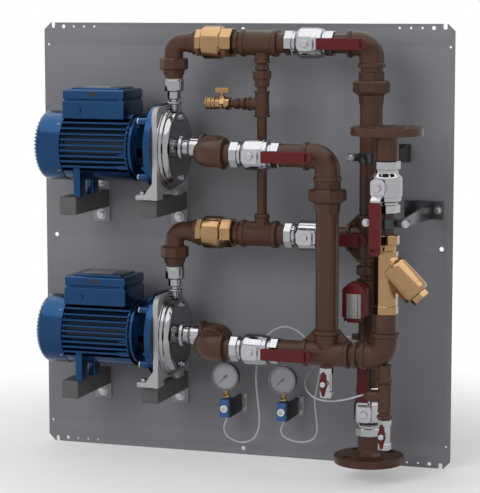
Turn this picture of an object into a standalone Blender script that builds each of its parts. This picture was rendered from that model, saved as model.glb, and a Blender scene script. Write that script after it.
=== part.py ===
# Booster pump set: two close coupled pumps, their valves and pipework on one mounting plate.
# Metres, +Z up, the viewer stands at -Y. The origin is the centre of the plate's back face.
import math

import bmesh
import bpy
from mathutils import Matrix, Vector

mm = 0.001

# General clearances and roundness
seat_gap = 0.3 * mm
overrun = 2 * mm
face_step = 0.5 * mm
merge_distance = 0.001 * mm
pipe_steps = 10
small_steps = 8
hole_steps = 6
hollow_steps = 12
flange_steps = 16
case_steps = 16
sharp_angle = 35
corner_turn = math.radians(22.5)

# Places of the main axes
pump_axis_y = -150 * mm
upper_axis_z = 220 * mm
pump_pitch = 413 * mm
discharge_rise = 230 * mm
discharge_drop_x = -110 * mm
link_x = 92 * mm
riser_x = 335 * mm
suction_y = -285 * mm
drop_x = 278 * mm
inlet_x = 404 * mm

# Mounting plate
plate_width = 964 * mm
plate_height = 980 * mm
plate_thickness = 3 * mm
plate_corner = 16 * mm
slot_inset = 22 * mm
slot_radius = 4.5 * mm
slot_depth = 8 * mm
hole_pitch = 25.4 * mm
row_holes = 4
row_inset = 9 * mm
row_hole_radius = 2.6 * mm
large_hole_radius = 4.5 * mm
side_hole_inset = 10 * mm
side_hole_drop = 50 * mm
middle_hole_radius = 5 * mm
middle_side_inset = 25 * mm
middle_end_inset = 14 * mm

# Support arms
arm_size = 40 * mm
arm_reach = 205 * mm
arm_top_drop = 110.3 * mm
arm_corner = 2 * mm
arm_foot_height = 110 * mm
arm_foot_thickness = 6 * mm
left_arm_x = -341.5 * mm
right_arm_x = -151 * mm

# Motor housing
motor_rear_x = -352 * mm
motor_front_x = -195 * mm
motor_radius = 76 * mm
fin_root_radius = 63 * mm
fin_pitch = 12 * mm
fin_thickness = 4.5 * mm
slots_below = 4
slots_above = 5
rear_spigot_radius = 68 * mm
rear_spigot_length = 14 * mm
rotor_bore_radius = 44 * mm
end_wall = 16 * mm
shaft_radius = 9 * mm
bearing_gap = 0.5 * mm

# Terminal box on the housing
box_length = 146.5 * mm
box_depth = 120 * mm
box_front_x = -205 * mm
box_shift_y = 0 * mm
box_base_bottom = 62 * mm
box_base_top = 104 * mm
box_lid_top = 127 * mm
box_rounding = 7 * mm
box_seam = 2.5 * mm
box_crown = 4 * mm
box_crown_inset = 16 * mm
box_crown_rounding = 3.5 * mm
entry_radius = 9 * mm
entry_length = 5 * mm
entry_inset = 36.5 * mm
entry_height = 81 * mm

# Motor foot
motor_foot_x = -320 * mm
motor_foot_width = 17 * mm
motor_foot_near = 20 * mm
motor_foot_far = 55 * mm
motor_foot_root = 40 * mm

# Fan cowl
cowl_length = 67 * mm
cowl_radius = 77 * mm
cowl_wall = 2 * mm
cowl_rounding = 14 * mm
cowl_slots = 4
cowl_slot_pitch = 24 * mm
cowl_slot_height = 12 * mm
cowl_slot_depth = 9 * mm
cowl_slot_reach = 62 * mm

# Lantern between motor and pump
lantern_rear_radius = 70 * mm
lantern_rear_length = 8 * mm
lantern_neck_radius = 52 * mm
lantern_mouth_radius = 84 * mm
lantern_flange_radius = 97 * mm
lantern_flange_x = -148 * mm
lantern_wall = 7 * mm
lantern_bore_radius = 24 * mm
window_width = 22 * mm
window_height = 40 * mm
window_drop = 30 * mm
lantern_lug_radius = 8 * mm
lantern_lug_length = 20 * mm
lantern_lug_share = 0.93
lug_angles = (42, 138, 222, 318)

# Foot plate of the pump
foot_plate_x = -132 * mm
foot_plate_thickness = 12 * mm
foot_plate_half_width = 82 * mm
foot_plate_top = 92 * mm
foot_plate_shoulder = 24 * mm
shoulder_parts = 4
foot_plate_bottom = 109.5 * mm
foot_plate_hole = 20 * mm
foot_arch_half_width = 45 * mm
foot_arch_height = 14 * mm
toe_length = 39 * mm
toe_width = 31 * mm
toe_thickness = 11 * mm
gusset_height = 24 * mm
gusset_thickness = 8 * mm
gusset_length = 18 * mm

# Pump casing
casing_front_x = -93.5 * mm
casing_rim_radius = 93 * mm
casing_rim_length = 4 * mm
casing_step_radius = 88 * mm
casing_step_length = 7 * mm
casing_face_radius = 83 * mm
casing_rounding = 5 * mm
casing_wall = 2.5 * mm
suction_boss_radius = 29 * mm
suction_boss_length = 8 * mm
suction_nipple_radius = 24 * mm
suction_bore_radius = 17 * mm
suction_nipple_end_x = -47 * mm
stub_radius = 9 * mm
stub_bore_radius = 6 * mm
stub_top = 106 * mm
stub_collar_radius = 17 * mm
stub_collar_height = 6 * mm
neck_radius = 14.5 * mm
neck_top = 123 * mm
socket_radius = 21.3 * mm
socket_top = 152 * mm
casing_plug_radius = 6.5 * mm
casing_plug_length = 8 * mm
casing_plug_circle = 66 * mm

# Rotor: shaft, rotor core, fan and impeller
fan_hub_radius = 20 * mm
fan_radius = 60 * mm
fan_blades = 6
fan_width = 26 * mm
fan_blade_thickness = 4 * mm
fan_gap = 8 * mm
core_gap = 3.5 * mm
impeller_radius = 70 * mm
impeller_plate = 4 * mm
impeller_eye_radius = 26 * mm
impeller_vane_height = 8 * mm
impeller_vane_thickness = 4 * mm
impeller_vanes = 6
impeller_gap = 3 * mm

# Pipe and screwed fittings, one and a half inch
pipe_radius = 24.15 * mm
elbow_reach = 50 * mm
elbow_radius = 26.5 * mm
offset_elbow_radius = 29 * mm
offset_bead_radius = 33 * mm
tee_branch_radius = 24.6 * mm
bead_radius = 30 * mm
bead_length = 11 * mm
bead_share = 0.7
bend_radius = 31 * mm
bend_parts = 4
nipple_radius = 21.5 * mm
union_ring_radius = 27.5 * mm
union_nut_radius = 40 * mm
union_ring_length = 19 * mm
union_nut_length = 26 * mm
union_nut_chamfer = 5 * mm
union_base_length = 24 * mm
union_tail_length = 9 * mm

# Discharge bend, one and a quarter inch
bend_pipe_radius = 20 * mm
bend_tail_length = 18 * mm
bend_nut_radius = 31 * mm
bend_nut_length = 26 * mm
bend_collar_radius = 27 * mm
bend_collar_length = 23 * mm
bend_turn_radius = 24 * mm
check_rear_x = -54 * mm

# Check valve
check_length = 82 * mm
check_hex_radius = 31 * mm
check_hex_length = 14 * mm
check_front_length = 25 * mm
check_body_radius = 36 * mm
check_chamfer = 5 * mm
check_bore_radius = 17 * mm
check_cavity_radius = 27 * mm
check_cavity_length = 34 * mm
check_cavity_start = 18 * mm
poppet_radius = 23 * mm
poppet_thickness = 6 * mm
poppet_stem_radius = 5 * mm
poppet_stem_length = 34 * mm
poppet_lift = 9 * mm
poppet_guide_radius = 5.4 * mm
poppet_guide_arm = 4 * mm
poppet_guide_share = 0.5

# Link pipe between the discharge lines, half inch
tee_end_x = 129 * mm
tee_start_x = 45 * mm
link_radius = 10.65 * mm
link_boss_radius = 16 * mm
link_boss_drop = 44 * mm
link_union_top = 59 * mm
link_nut_radius = 20 * mm
link_nut_length = 19 * mm
link_body_radius = 16 * mm
link_body_length = 17 * mm
small_tee_radius = 15.5 * mm
small_tee_drop = 131 * mm
small_tee_half = 28 * mm
cock_pipe_radius = 8 * mm

# Drain cock
cock_end_x = 20 * mm
cock_length = 55 * mm
cock_radius = 12 * mm
cock_rib_radius = 14.5 * mm
cock_rib_pitch = 9 * mm
cock_ribs = 3
cock_nose_radius = 9 * mm
cock_nose_length = 4 * mm
cock_boss_radius = 8 * mm
cock_boss_height = 17 * mm
cock_stem_radius = 4 * mm
cock_plug_radius = 7 * mm
cock_handle_length = 32 * mm
cock_handle_height = 12 * mm
cock_handle_thickness = 6 * mm
cock_handle_lift = 22 * mm
cock_handle_x = 1 * mm

# Ball valve, one and a half inch
valve_length = 107 * mm
valve_hex_radius = 28.5 * mm
valve_hex_length = 17 * mm
valve_waist_radius = 24.5 * mm
valve_waist_length = 8 * mm
valve_body_radius = 33 * mm
valve_cone_length = 8 * mm
valve_bore_radius = 18 * mm
valve_ball_radius = 23 * mm
ball_gap = 2.4 * mm
valve_neck_radius = 14 * mm
valve_neck_reach = 42 * mm
valve_stem_radius = 6 * mm
stem_gap = 0.9 * mm
discharge_valve_x = 200.5 * mm
suction_valve_x = 122 * mm
outlet_valve_z = -338 * mm
inlet_valve_z = 161 * mm
inlet_valve_turn = -10

# Valve lever
hub_length = 36 * mm
hub_height = 31 * mm
hub_thickness = 3 * mm
hub_reach = 44 * mm
hub_corner = 5 * mm
lever_nut_radius = 9 * mm
lever_nut_length = 6 * mm
lever_strip_height = 22 * mm
lever_step_length = 14 * mm
lever_step_reach = 9 * mm
sleeve_start = 28 * mm
sleeve_length = 111 * mm
sleeve_height = 25 * mm
sleeve_thickness = 8 * mm
sleeve_slot_length = 14 * mm
sleeve_slot_height = 5 * mm
sleeve_slot_inset = 14 * mm
ball_rings = 4
ball_steps = 8
ball_back_angle = 60

# Riser
flow_boss_radius = 15 * mm
flow_boss_length = 3 * mm
flow_switch_z = -93 * mm
tube_boss_z = -178 * mm
tube_boss_radius = 7 * mm
tube_boss_length = 14 * mm
coupling_radius = 30 * mm
coupling_length = 20 * mm

# Flow switch
flow_box_width = 48 * mm
flow_box_depth = 50 * mm
flow_box_height = 83 * mm
flow_box_corner = 13 * mm
flow_box_left = 295 * mm
flow_box_back_y = -181 * mm
flow_stem_radius = 10 * mm
flow_cover_left = 305.6 * mm
flow_cover_right = 336.5 * mm
flow_cover_drop = 32 * mm
flow_cover_rise = 20 * mm
flow_cover_thickness = 3 * mm

# Flanges DN 40
flange_radius = 75 * mm
flange_thickness = 17 * mm
flange_hub_radius = 31 * mm
flange_hub_length = 9 * mm
flange_bore_radius = 20.5 * mm
bolt_circle_radius = 55 * mm
bolt_hole_radius = 9 * mm
bolt_holes = 4
raised_face_radius = 44 * mm
raised_face_height = 2 * mm
inlet_flange_top = 286 * mm
outlet_flange_bottom = -453 * mm

# Suction manifold
branch_radius = 14 * mm
branch_neck = 20 * mm
branch_ring_radius = 16.5 * mm
branch_ring_length = 8 * mm
sample_tee_drop = 84 * mm
sample_tee_half = 27 * mm
sample_tee_radius = 14.5 * mm
sample_end_drop = 132 * mm
sample_branch_reach = 45 * mm
hex_nipple_radius = 29 * mm
hex_nipple_length = 8 * mm
tee_gusset_size = 15 * mm
tee_gusset_thickness = 8 * mm
strainer_bottom_z = -103 * mm
left_boss_length = 2.5 * mm

# Strainer
strainer_hex_radius = 28 * mm
strainer_hex_length = 20 * mm
lower_hex_radius = 26.5 * mm
lower_hex_length = 18 * mm
strainer_top_z = 62 * mm
strainer_body_radius = 24.5 * mm
strainer_neck_radius = 21 * mm
strainer_body_top = 12 * mm
strainer_bore_radius = 18 * mm
branch_start_z = 10 * mm
strainer_branch_angle = 46
branch_neck_radius = 23.5 * mm
branch_neck_end = 18 * mm
branch_barrel_radius = 30 * mm
branch_barrel_end = 97 * mm
branch_taper = 6 * mm
branch_plug_radius = 20.5 * mm
branch_plug_length = 14 * mm
clamp_nipple_radius = 19 * mm

# Small valves
small_valve_length = 64 * mm
small_valve_hex_radius = 14.5 * mm
small_valve_hex_length = 14 * mm
small_valve_radius = 12 * mm
small_valve_bore_radius = 6 * mm
small_ball_radius = 9.5 * mm
small_neck_radius = 7.5 * mm
small_neck_reach = 20 * mm
small_stem_radius = 3 * mm
wing_length = 52 * mm
wing_height = 11 * mm
wing_thickness = 5 * mm
wing_reach = 23 * mm
wing_nut_radius = 6.5 * mm
wing_nut_length = 5 * mm

# Pipe clamps
clamp_thickness = 3 * mm
clamp_height = 20 * mm
clamp_ear_reach = 50 * mm
clamp_ear_thickness = 9 * mm
clamp_strap_thickness = 4 * mm
riser_clamp_z = 209 * mm
inlet_clamp_z = 86 * mm
riser_strap_reach = 48 * mm
riser_foot_span = (18 * mm, 52 * mm)
inlet_strap_reach = 32 * mm
inlet_foot_span = (-30 * mm, 56 * mm)
clamp_foot_height = 40 * mm

# Pressure gauges
gauge_radius = 31.5 * mm
gauge_depth = 26 * mm
gauge_bezel = 3 * mm
gauge_recess = 5 * mm
gauge_back_y = -60 * mm
gauge_first_x = -16 * mm
gauge_spacing = 134 * mm
gauge_z = -297 * mm
gauge_stem_radius = 5.5 * mm
gauge_stem_length = 42 * mm
needle_length = 22 * mm
needle_tail = 7 * mm
needle_width = 2.2 * mm
needle_thickness = 1.2 * mm
needle_hub_radius = 3.2 * mm
needle_hub_length = 3.5 * mm
needle_rest_angle = 225

# Pressure switches
switch_width = 21 * mm
switch_height = 42 * mm
switch_depth = 34 * mm
switch_rounding = 2.5 * mm
switch_fitting_radius = 7.5 * mm
switch_fitting_length = 8 * mm
switch_knob_radius = 8.5 * mm
switch_knob_length = 5 * mm
bracket_thickness = 3 * mm
bracket_height = 24 * mm
bracket_foot_length = 24 * mm
bracket_offset_x = 27 * mm
tube_socket_radius = 4.5 * mm
tube_socket_length = 4 * mm

# Impulse tubes
tube_radius = 2 * mm
tube_points = 48
tube_lead = 4 * mm
route_parts = 20

# Worked out from the sizes above
pump_levels = {"upper": upper_axis_z, "lower": upper_axis_z - pump_pitch}
lantern_front_x = foot_plate_x - seat_gap
foot_plate_front_x = foot_plate_x + foot_plate_thickness
casing_rear_x = foot_plate_front_x + seat_gap
valve_half = valve_length / 2
discharge_valve_start = discharge_valve_x - valve_half
discharge_valve_end = discharge_valve_x + valve_half
suction_valve_start = suction_valve_x - valve_half
suction_valve_end = suction_valve_x + valve_half
offset_x = suction_nipple_end_x + seat_gap + elbow_reach
manifold_z = pump_levels["lower"]
arm_places = {"left": left_arm_x, "right": right_arm_x}
gauge_front_y = gauge_back_y - gauge_depth
gauge_places = {"first": gauge_first_x, "second": gauge_first_x + gauge_spacing}
switch_top_z = gauge_z - gauge_stem_length - seat_gap - switch_fitting_length
switch_bottom_z = switch_top_z - switch_height
switch_centre_y = gauge_back_y - gauge_depth / 2
outlet_valve_bottom = outlet_valve_z - valve_half
outlet_valve_top = outlet_valve_z + valve_half
inlet_valve_bottom = inlet_valve_z - valve_half
inlet_valve_top = inlet_valve_z + valve_half
sample_end_z = manifold_z - sample_end_drop

axis_turns = {
    "X": Matrix.Rotation(math.radians(90), 4, "Y"),
    "-X": Matrix.Rotation(math.radians(-90), 4, "Y"),
    "-Y": Matrix.Rotation(math.radians(90), 4, "X"),
    "Y": Matrix.Rotation(math.radians(-90), 4, "X"),
    "Z": Matrix.Identity(4),
    "-Z": Matrix.Rotation(math.radians(180), 4, "X"),
}

finishes = {
    "plate_paint": ((0.15, 0.15, 0.16), 0.5, 0.3),
    "arm_paint": ((0.04, 0.04, 0.04), 0.6, 0.0),
    "motor_blue": ((0.03, 0.10, 0.22), 0.4, 0.0),
    "cast_grey": ((0.32, 0.32, 0.34), 0.5, 0.4),
    "stainless": ((0.7, 0.7, 0.7), 0.15, 1.0),
    "brown_paint": ((0.07, 0.04, 0.03), 0.45, 0.0),
    "brass": ((0.55, 0.36, 0.18), 0.3, 1.0),
    "chrome": ((0.75, 0.75, 0.76), 0.15, 1.0),
    "red_sleeve": ((0.12, 0.01, 0.015), 0.45, 0.0),
    "dark_steel": ((0.05, 0.05, 0.055), 0.4, 0.8),
    "dial_grey": ((0.3, 0.3, 0.31), 0.4, 0.2),
    "switch_blue": ((0.03, 0.12, 0.28), 0.45, 0.0),
    "tube_grey": ((0.38, 0.38, 0.38), 0.4, 0.0),
    "rotor_steel": ((0.3, 0.3, 0.31), 0.4, 0.8),
}


def clear_scene():
    for item in list(bpy.data.objects):
        bpy.data.objects.remove(item, do_unlink=True)


def make_collection(name):
    group = bpy.data.collections.new(name)
    bpy.context.scene.collection.children.link(group)
    return group


clear_scene()
parts_group = make_collection("booster_pump_set")
work_group = make_collection("cutters")


def new_piece(mesh):
    piece = bpy.data.objects.new("piece", mesh)
    work_group.objects.link(piece)
    return piece


def settle(piece):
    """Gives the piece's evaluated mesh, welded, as a new piece, and removes the old one."""
    graph = bpy.context.evaluated_depsgraph_get()
    mesh = bpy.data.meshes.new_from_object(piece.evaluated_get(graph), depsgraph=graph)
    mesh.transform(piece.matrix_world)
    bpy.data.objects.remove(piece, do_unlink=True)
    weld = bmesh.new()
    weld.from_mesh(mesh)
    bmesh.ops.remove_doubles(weld, verts=weld.verts, dist=merge_distance)
    weld.to_mesh(mesh)
    weld.free()
    return new_piece(mesh)


def put(piece, origin=(0, 0, 0), axis="Z"):
    """Turns a piece made along +Z to the axis and carries it to the origin given."""
    piece.data.transform(Matrix.Translation(Vector(origin)) @ axis_turns[axis])
    return piece


def turned(profile, steps=pipe_steps, ring=False, half_step=False):
    """A lathe shape about Z. The profile is (height, radius) from the bottom up."""
    points = [(radius, 0, height) for height, radius in reversed(profile)]
    if not ring:
        points = [(0, 0, points[0][2])] + points + [(0, 0, points[-1][2])]
    edges = [(index, index + 1) for index in range(len(points) - 1)]
    if ring:
        edges.append((len(points) - 1, 0))
    mesh = bpy.data.meshes.new("profile")
    mesh.from_pydata(points, edges, [])
    piece = new_piece(mesh)
    screw = piece.modifiers.new("screw", "SCREW")
    screw.axis = "Z"
    screw.angle = math.tau
    screw.steps = steps
    screw.render_steps = steps
    screw.use_merge_vertices = True
    screw.merge_threshold = merge_distance
    piece = settle(piece)
    if half_step:
        piece.data.transform(Matrix.Rotation(math.pi / steps, 4, "Z"))
    return piece


def rod(radius, start, end, steps=pipe_steps, half_step=False):
    return turned([(start, radius), (end, radius)], steps, half_step=half_step)


def tube(inner, outer, start, end, steps=pipe_steps):
    profile = [(end, inner), (start, inner), (start, outer), (end, outer)]
    return turned(profile, steps, ring=True)


def polygon_bar(radius, start, end, sides=6, turn=0):
    """A bar of regular section about Z, such as a hexagon, with its corners at the radius."""
    mesh = bpy.data.meshes.new("bar")
    shape = bmesh.new()
    bmesh.ops.create_cone(
        shape, cap_ends=True, segments=sides, radius1=radius, radius2=radius, depth=end - start
    )
    place = Matrix.Translation((0, 0, (start + end) / 2)) @ Matrix.Rotation(turn, 4, "Z")
    bmesh.ops.transform(shape, matrix=place, verts=shape.verts)
    shape.to_mesh(mesh)
    shape.free()
    return new_piece(mesh)


def block(low, high, rounding=0, segments=2):
    """A box between two corners, with its edges rounded where a rounding is given."""
    low = Vector(low)
    high = Vector(high)
    mesh = bpy.data.meshes.new("block")
    shape = bmesh.new()
    bmesh.ops.create_cube(shape, size=1)
    size = high - low
    place = Matrix.Translation((low + high) / 2) @ Matrix.Diagonal((*size, 1))
    bmesh.ops.transform(shape, matrix=place, verts=shape.verts)
    shape.to_mesh(mesh)
    shape.free()
    piece = new_piece(mesh)
    if not rounding:
        return piece
    bevel = piece.modifiers.new("bevel", "BEVEL")
    bevel.width = rounding
    bevel.segments = segments
    return settle(piece)


def sheet(outline, thickness, holes=()):
    """A flat outline in XY, centred on its thickness along Z, with its holes."""
    curve = bpy.data.curves.new("outline", "CURVE")
    curve.dimensions = "2D"
    curve.fill_mode = "BOTH"
    curve.extrude = thickness / 2
    for points in [outline, *holes]:
        spline = curve.splines.new("POLY")
        spline.points.add(len(points) - 1)
        for point, place in zip(spline.points, points):
            point.co = (place[0], place[1], 0, 1)
        spline.use_cyclic_u = True
    return settle(new_piece(curve))


def circle_points(radius, steps, centre=(0, 0)):
    points = []
    for index in range(steps):
        angle = math.tau * (index + 0.5) / steps
        points.append((centre[0] + radius * math.cos(angle), centre[1] + radius * math.sin(angle)))
    return points


def arc_points(centre, radius, first, last, steps):
    """Points on an arc, from the first angle to the last, in degrees."""
    points = []
    for index in range(steps + 1):
        angle = math.radians(first + (last - first) * index / steps)
        points.append((centre[0] + radius * math.cos(angle), centre[1] + radius * math.sin(angle)))
    return points


def bent_rod(points, radius, resolution=2):
    """A round rod along the points given, with closed ends."""
    curve = bpy.data.curves.new("path", "CURVE")
    curve.dimensions = "3D"
    curve.bevel_depth = radius
    curve.bevel_resolution = resolution
    curve.use_fill_caps = True
    spline = curve.splines.new("POLY")
    spline.points.add(len(points) - 1)
    for point, place in zip(spline.points, points):
        point.co = (*place, 1)
    return settle(new_piece(curve))


def unite(pieces):
    """One body from pieces that overlap."""
    body = pieces[0]
    for other in pieces[1:]:
        join = body.modifiers.new("join", "BOOLEAN")
        join.operation = "UNION"
        join.solver = "EXACT"
        join.object = other
    body = settle(body)
    for other in pieces[1:]:
        bpy.data.objects.remove(other, do_unlink=True)
    return body


def cut(body, cutters):
    for cutter in cutters:
        take = body.modifiers.new("take", "BOOLEAN")
        take.operation = "DIFFERENCE"
        take.solver = "EXACT"
        take.object = cutter
    body = settle(body)
    for cutter in cutters:
        bpy.data.objects.remove(cutter, do_unlink=True)
    return body


def turn_about(piece, centre, axis, degrees):
    shift = Matrix.Translation(Vector(centre))
    turn = Matrix.Rotation(math.radians(degrees), 4, axis)
    piece.data.transform(shift @ turn @ shift.inverted())
    return piece


def finish(piece, name, finish_name, origin=(0, 0, 0)):
    """Names the finished sub-part, sets its origin and gives it its own material."""
    mesh = piece.data
    mesh.transform(Matrix.Translation(-Vector(origin)))
    mesh.name = name
    mesh.shade_smooth()
    mesh.set_sharp_from_angle(angle=math.radians(sharp_angle))
    part = bpy.data.objects.new(name, mesh)
    part.location = origin
    parts_group.objects.link(part)
    bpy.data.objects.remove(piece, do_unlink=True)
    colour, roughness, metallic = finishes[finish_name]
    material = bpy.data.materials.new(name + "_" + finish_name)
    material.use_nodes = True
    shader = material.node_tree.nodes["Principled BSDF"]
    shader.inputs["Base Color"].default_value = (*colour, 1)
    shader.inputs["Roughness"].default_value = roughness
    shader.inputs["Metallic"].default_value = metallic
    mesh.materials.clear()
    mesh.materials.append(material)
    return part


# Mounting plate
def plate_outline():
    half_width = plate_width / 2
    half_height = plate_height / 2
    slot_x = half_width - slot_inset
    slot_bottom = half_height - slot_depth
    side = [(half_width, half_height - plate_corner), (half_width - plate_corner, half_height)]
    side.append((slot_x + slot_radius, half_height))
    side += arc_points((slot_x, slot_bottom), slot_radius, 0, -180, 4)
    side.append((slot_x - slot_radius, half_height))
    outline = list(side)
    outline += [(-x, z) for x, z in reversed(side)]
    outline += [(-x, -z) for x, z in side]
    outline += [(x, -z) for x, z in reversed(side)]
    return outline


def plate_holes():
    half_width = plate_width / 2
    half_height = plate_height / 2
    holes = []
    for side in (-1, 1):
        for end in (-1, 1):
            for index in range(row_holes):
                x = side * (half_width - slot_inset - (index + 1) * hole_pitch)
                radius = row_hole_radius if index else large_hole_radius
                holes.append(circle_points(radius, hole_steps, (x, end * (half_height - row_inset))))
            corner = (side * (half_width - side_hole_inset), end * (half_height - side_hole_drop))
            holes.append(circle_points(row_hole_radius, hole_steps, corner))
    for side in (-1, 1):
        x = side * (half_width - middle_side_inset)
        holes.append(circle_points(middle_hole_radius, hole_steps, (x, 0)))
        z = side * (half_height - middle_end_inset)
        holes.append(circle_points(middle_hole_radius, hole_steps, (0, z)))
    return holes


def make_plate():
    plate = sheet(plate_outline(), plate_thickness, plate_holes())
    put(plate, (0, -plate_thickness / 2, 0), "-Y")
    finish(plate, "mounting_plate", "plate_paint")


# Support arms
def make_arm(level, side):
    top = pump_levels[level] - arm_top_drop
    centre = arm_places[side]
    half = arm_size / 2
    front = -plate_thickness - seat_gap
    foot_front = front - arm_foot_thickness
    middle = top - half
    foot = block(
        (centre - half, foot_front, middle - arm_foot_height / 2),
        (centre + half, front, middle + arm_foot_height / 2),
    )
    bar = block(
        (centre - half + seat_gap, -arm_reach, top - arm_size),
        (centre + half - seat_gap, foot_front + arm_foot_thickness / 2, top),
        arm_corner,
        1,
    )
    finish(unite([foot, bar]), level + "_" + side + "_arm", "arm_paint")


# Motor housing with its cooling fins, terminal box and foot
def cooling_slots():
    """Long slots on both sides of the housing, which leave the fins between them."""
    slots = []
    half = (fin_pitch - fin_thickness) / 2
    for side in (-1, 1):
        for index in range(-slots_below, slots_above + 1):
            height = index * fin_pitch
            root = side * math.sqrt(fin_root_radius**2 - height**2)
            edge = side * (motor_radius + overrun)
            slots.append(
                block(
                    (motor_rear_x - overrun, min(root, edge), height - half),
                    (motor_front_x + overrun, max(root, edge), height + half),
                )
            )
    return slots


def terminal_box():
    front = box_front_x
    rear = box_front_x - box_length
    near = box_shift_y - box_depth / 2
    far = box_shift_y + box_depth / 2
    case = block((rear, near, box_base_bottom), (front, far, box_lid_top), box_rounding, 1)
    crown = block(
        (rear + box_crown_inset, near + box_crown_inset, box_lid_top - box_crown),
        (front - box_crown_inset, far - box_crown_inset, box_lid_top + box_crown),
        box_crown_rounding,
        1,
    )
    groove = cut(
        block(
            (rear - box_seam, near - box_seam, box_base_top - box_seam),
            (front + box_seam, far + box_seam, box_base_top),
        ),
        [
            block(
                (rear + box_seam, near + box_seam, box_base_top - 2 * box_seam),
                (front - box_seam, far - box_seam, box_base_top + box_seam),
            )
        ],
    )
    entry_x = rear + entry_inset
    entry = put(
        rod(entry_radius, 0, entry_length + box_seam, small_steps),
        (entry_x, near + box_seam, entry_height),
        "-Y",
    )
    return cut(unite([case, crown]), [groove]), entry


def motor_foot():
    """Two legs, one on each side of the axis, that stand on the arm."""
    drop = arm_top_drop - seat_gap
    rear = motor_foot_x - motor_foot_width / 2
    front = motor_foot_x + motor_foot_width / 2
    near = block((rear, -motor_foot_far, -drop), (front, -motor_foot_near, -motor_foot_root))
    far = block((rear, motor_foot_near, -drop), (front, motor_foot_far, -motor_foot_root))
    return [near, far]


def rotor_cavity():
    """The space of the rotor core, open to both ends round the shaft."""
    bearing = shaft_radius + bearing_gap
    return put(
        turned(
            [
                (motor_rear_x - rear_spigot_length - overrun, bearing),
                (motor_rear_x + end_wall, bearing),
                (motor_rear_x + end_wall, rotor_bore_radius),
                (motor_front_x - end_wall, rotor_bore_radius),
                (motor_front_x - end_wall, bearing),
                (motor_front_x + overrun, bearing),
            ]
        ),
        axis="X",
    )


def make_housing(level):
    barrel = put(rod(motor_radius, motor_rear_x, motor_front_x, case_steps), axis="X")
    finned = cut(barrel, cooling_slots())
    spigot = put(
        rod(rear_spigot_radius, motor_rear_x - rear_spigot_length, motor_rear_x + overrun, case_steps),
        axis="X",
    )
    box, entry = terminal_box()
    body = cut(unite([finned, spigot, box, entry, *motor_foot()]), [rotor_cavity()])
    put(body, (0, pump_axis_y, pump_levels[level]))
    finish(body, level + "_motor_housing", "motor_blue")


# Fan cowl, a thin shell whose slotted rear lets the air in
def make_cowl(level):
    front = motor_rear_x - seat_gap
    rear = front - cowl_length
    outer = [(front, cowl_radius), (rear + cowl_rounding, cowl_radius)]
    inner_radius = cowl_radius - cowl_wall
    bend = cowl_rounding / 2
    outer += [(rear + bend / 2, cowl_radius - bend / 2), (rear, cowl_radius - cowl_rounding)]
    inner = [(rear + cowl_wall, cowl_radius - cowl_rounding - cowl_wall)]
    inner += [(rear + cowl_rounding, inner_radius), (front, inner_radius)]
    hub = [(rear, shaft_radius / 2), (rear + cowl_wall, shaft_radius / 2)]
    shell = put(turned([*outer, *hub, *inner][::-1], case_steps, ring=True), axis="X")
    eye = put(rod(shaft_radius, rear, rear + cowl_wall, small_steps), axis="X")
    cutters = []
    for index in range(cowl_slots):
        height = (index - (cowl_slots - 1) / 2) * cowl_slot_pitch
        cutters.append(
            block(
                (rear - overrun, -cowl_radius - overrun, height - cowl_slot_height / 2),
                (rear + cowl_slot_depth, -cowl_radius + cowl_slot_reach, height + cowl_slot_height / 2),
            )
        )
        cutters.append(
            block(
                (rear - overrun, cowl_radius - cowl_slot_reach, height - cowl_slot_height / 2),
                (rear + cowl_slot_depth, cowl_radius + overrun, height + cowl_slot_height / 2),
            )
        )
    cowl = cut(unite([shell, eye]), cutters)
    put(cowl, (0, pump_axis_y, pump_levels[level]))
    finish(cowl, level + "_fan_cowl", "motor_blue")


# Lantern, a flared casting with windows, that joins motor and pump
def make_lantern(level):
    rear = motor_front_x + seat_gap
    neck_end = rear + lantern_rear_length
    mouth = lantern_flange_x
    shell = [
        (rear, lantern_rear_radius),
        (neck_end, lantern_rear_radius),
        (neck_end, lantern_neck_radius),
        (mouth, lantern_mouth_radius),
        (mouth, lantern_flange_radius),
        (lantern_front_x, lantern_flange_radius),
    ]
    hollow = [
        (neck_end, lantern_neck_radius - lantern_wall),
        (mouth, lantern_mouth_radius - lantern_wall),
        (lantern_front_x + overrun, lantern_mouth_radius - lantern_wall),
    ]
    pieces = [put(turned(shell, case_steps), axis="X")]
    for angle in lug_angles:
        share = lantern_flange_radius * lantern_lug_share
        place = (0, share * math.cos(math.radians(angle)), share * math.sin(math.radians(angle)))
        lug = rod(lantern_lug_radius, mouth - lantern_lug_length, mouth + overrun, 8)
        pieces.append(put(lug, place, "X"))
    cutters = [put(turned(hollow, case_steps), axis="X")]
    cutters.append(put(rod(lantern_bore_radius, rear - overrun, mouth, small_steps), axis="X"))
    for side in (-1, 1):
        low = min(side * lantern_bore_radius, side * lantern_flange_radius)
        high = max(side * lantern_bore_radius, side * lantern_flange_radius)
        centre = -window_drop
        cutters.append(
            block(
                (mouth - window_width, low, centre - window_height / 2),
                (mouth - overrun, high, centre + window_height / 2),
            )
        )
    body = cut(unite(pieces), cutters)
    put(body, (0, pump_axis_y, pump_levels[level]))
    finish(body, level + "_lantern", "motor_blue")


# Foot plate with two toes and their gussets
def foot_plate_outline():
    half = foot_plate_half_width
    arch = foot_arch_half_width
    turn = foot_plate_shoulder
    height = foot_plate_top - turn
    points = arc_points((half - turn, height), turn, 0, 90, shoulder_parts)
    points += arc_points((turn - half, height), turn, 90, 180, shoulder_parts)
    points += [(-half, -foot_plate_bottom), (-arch, -foot_plate_bottom)]
    points += [(-arch, foot_arch_height - foot_plate_bottom)]
    points += [(arch, foot_arch_height - foot_plate_bottom)]
    points += [(arch, -foot_plate_bottom), (half, -foot_plate_bottom)]
    return points


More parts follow.
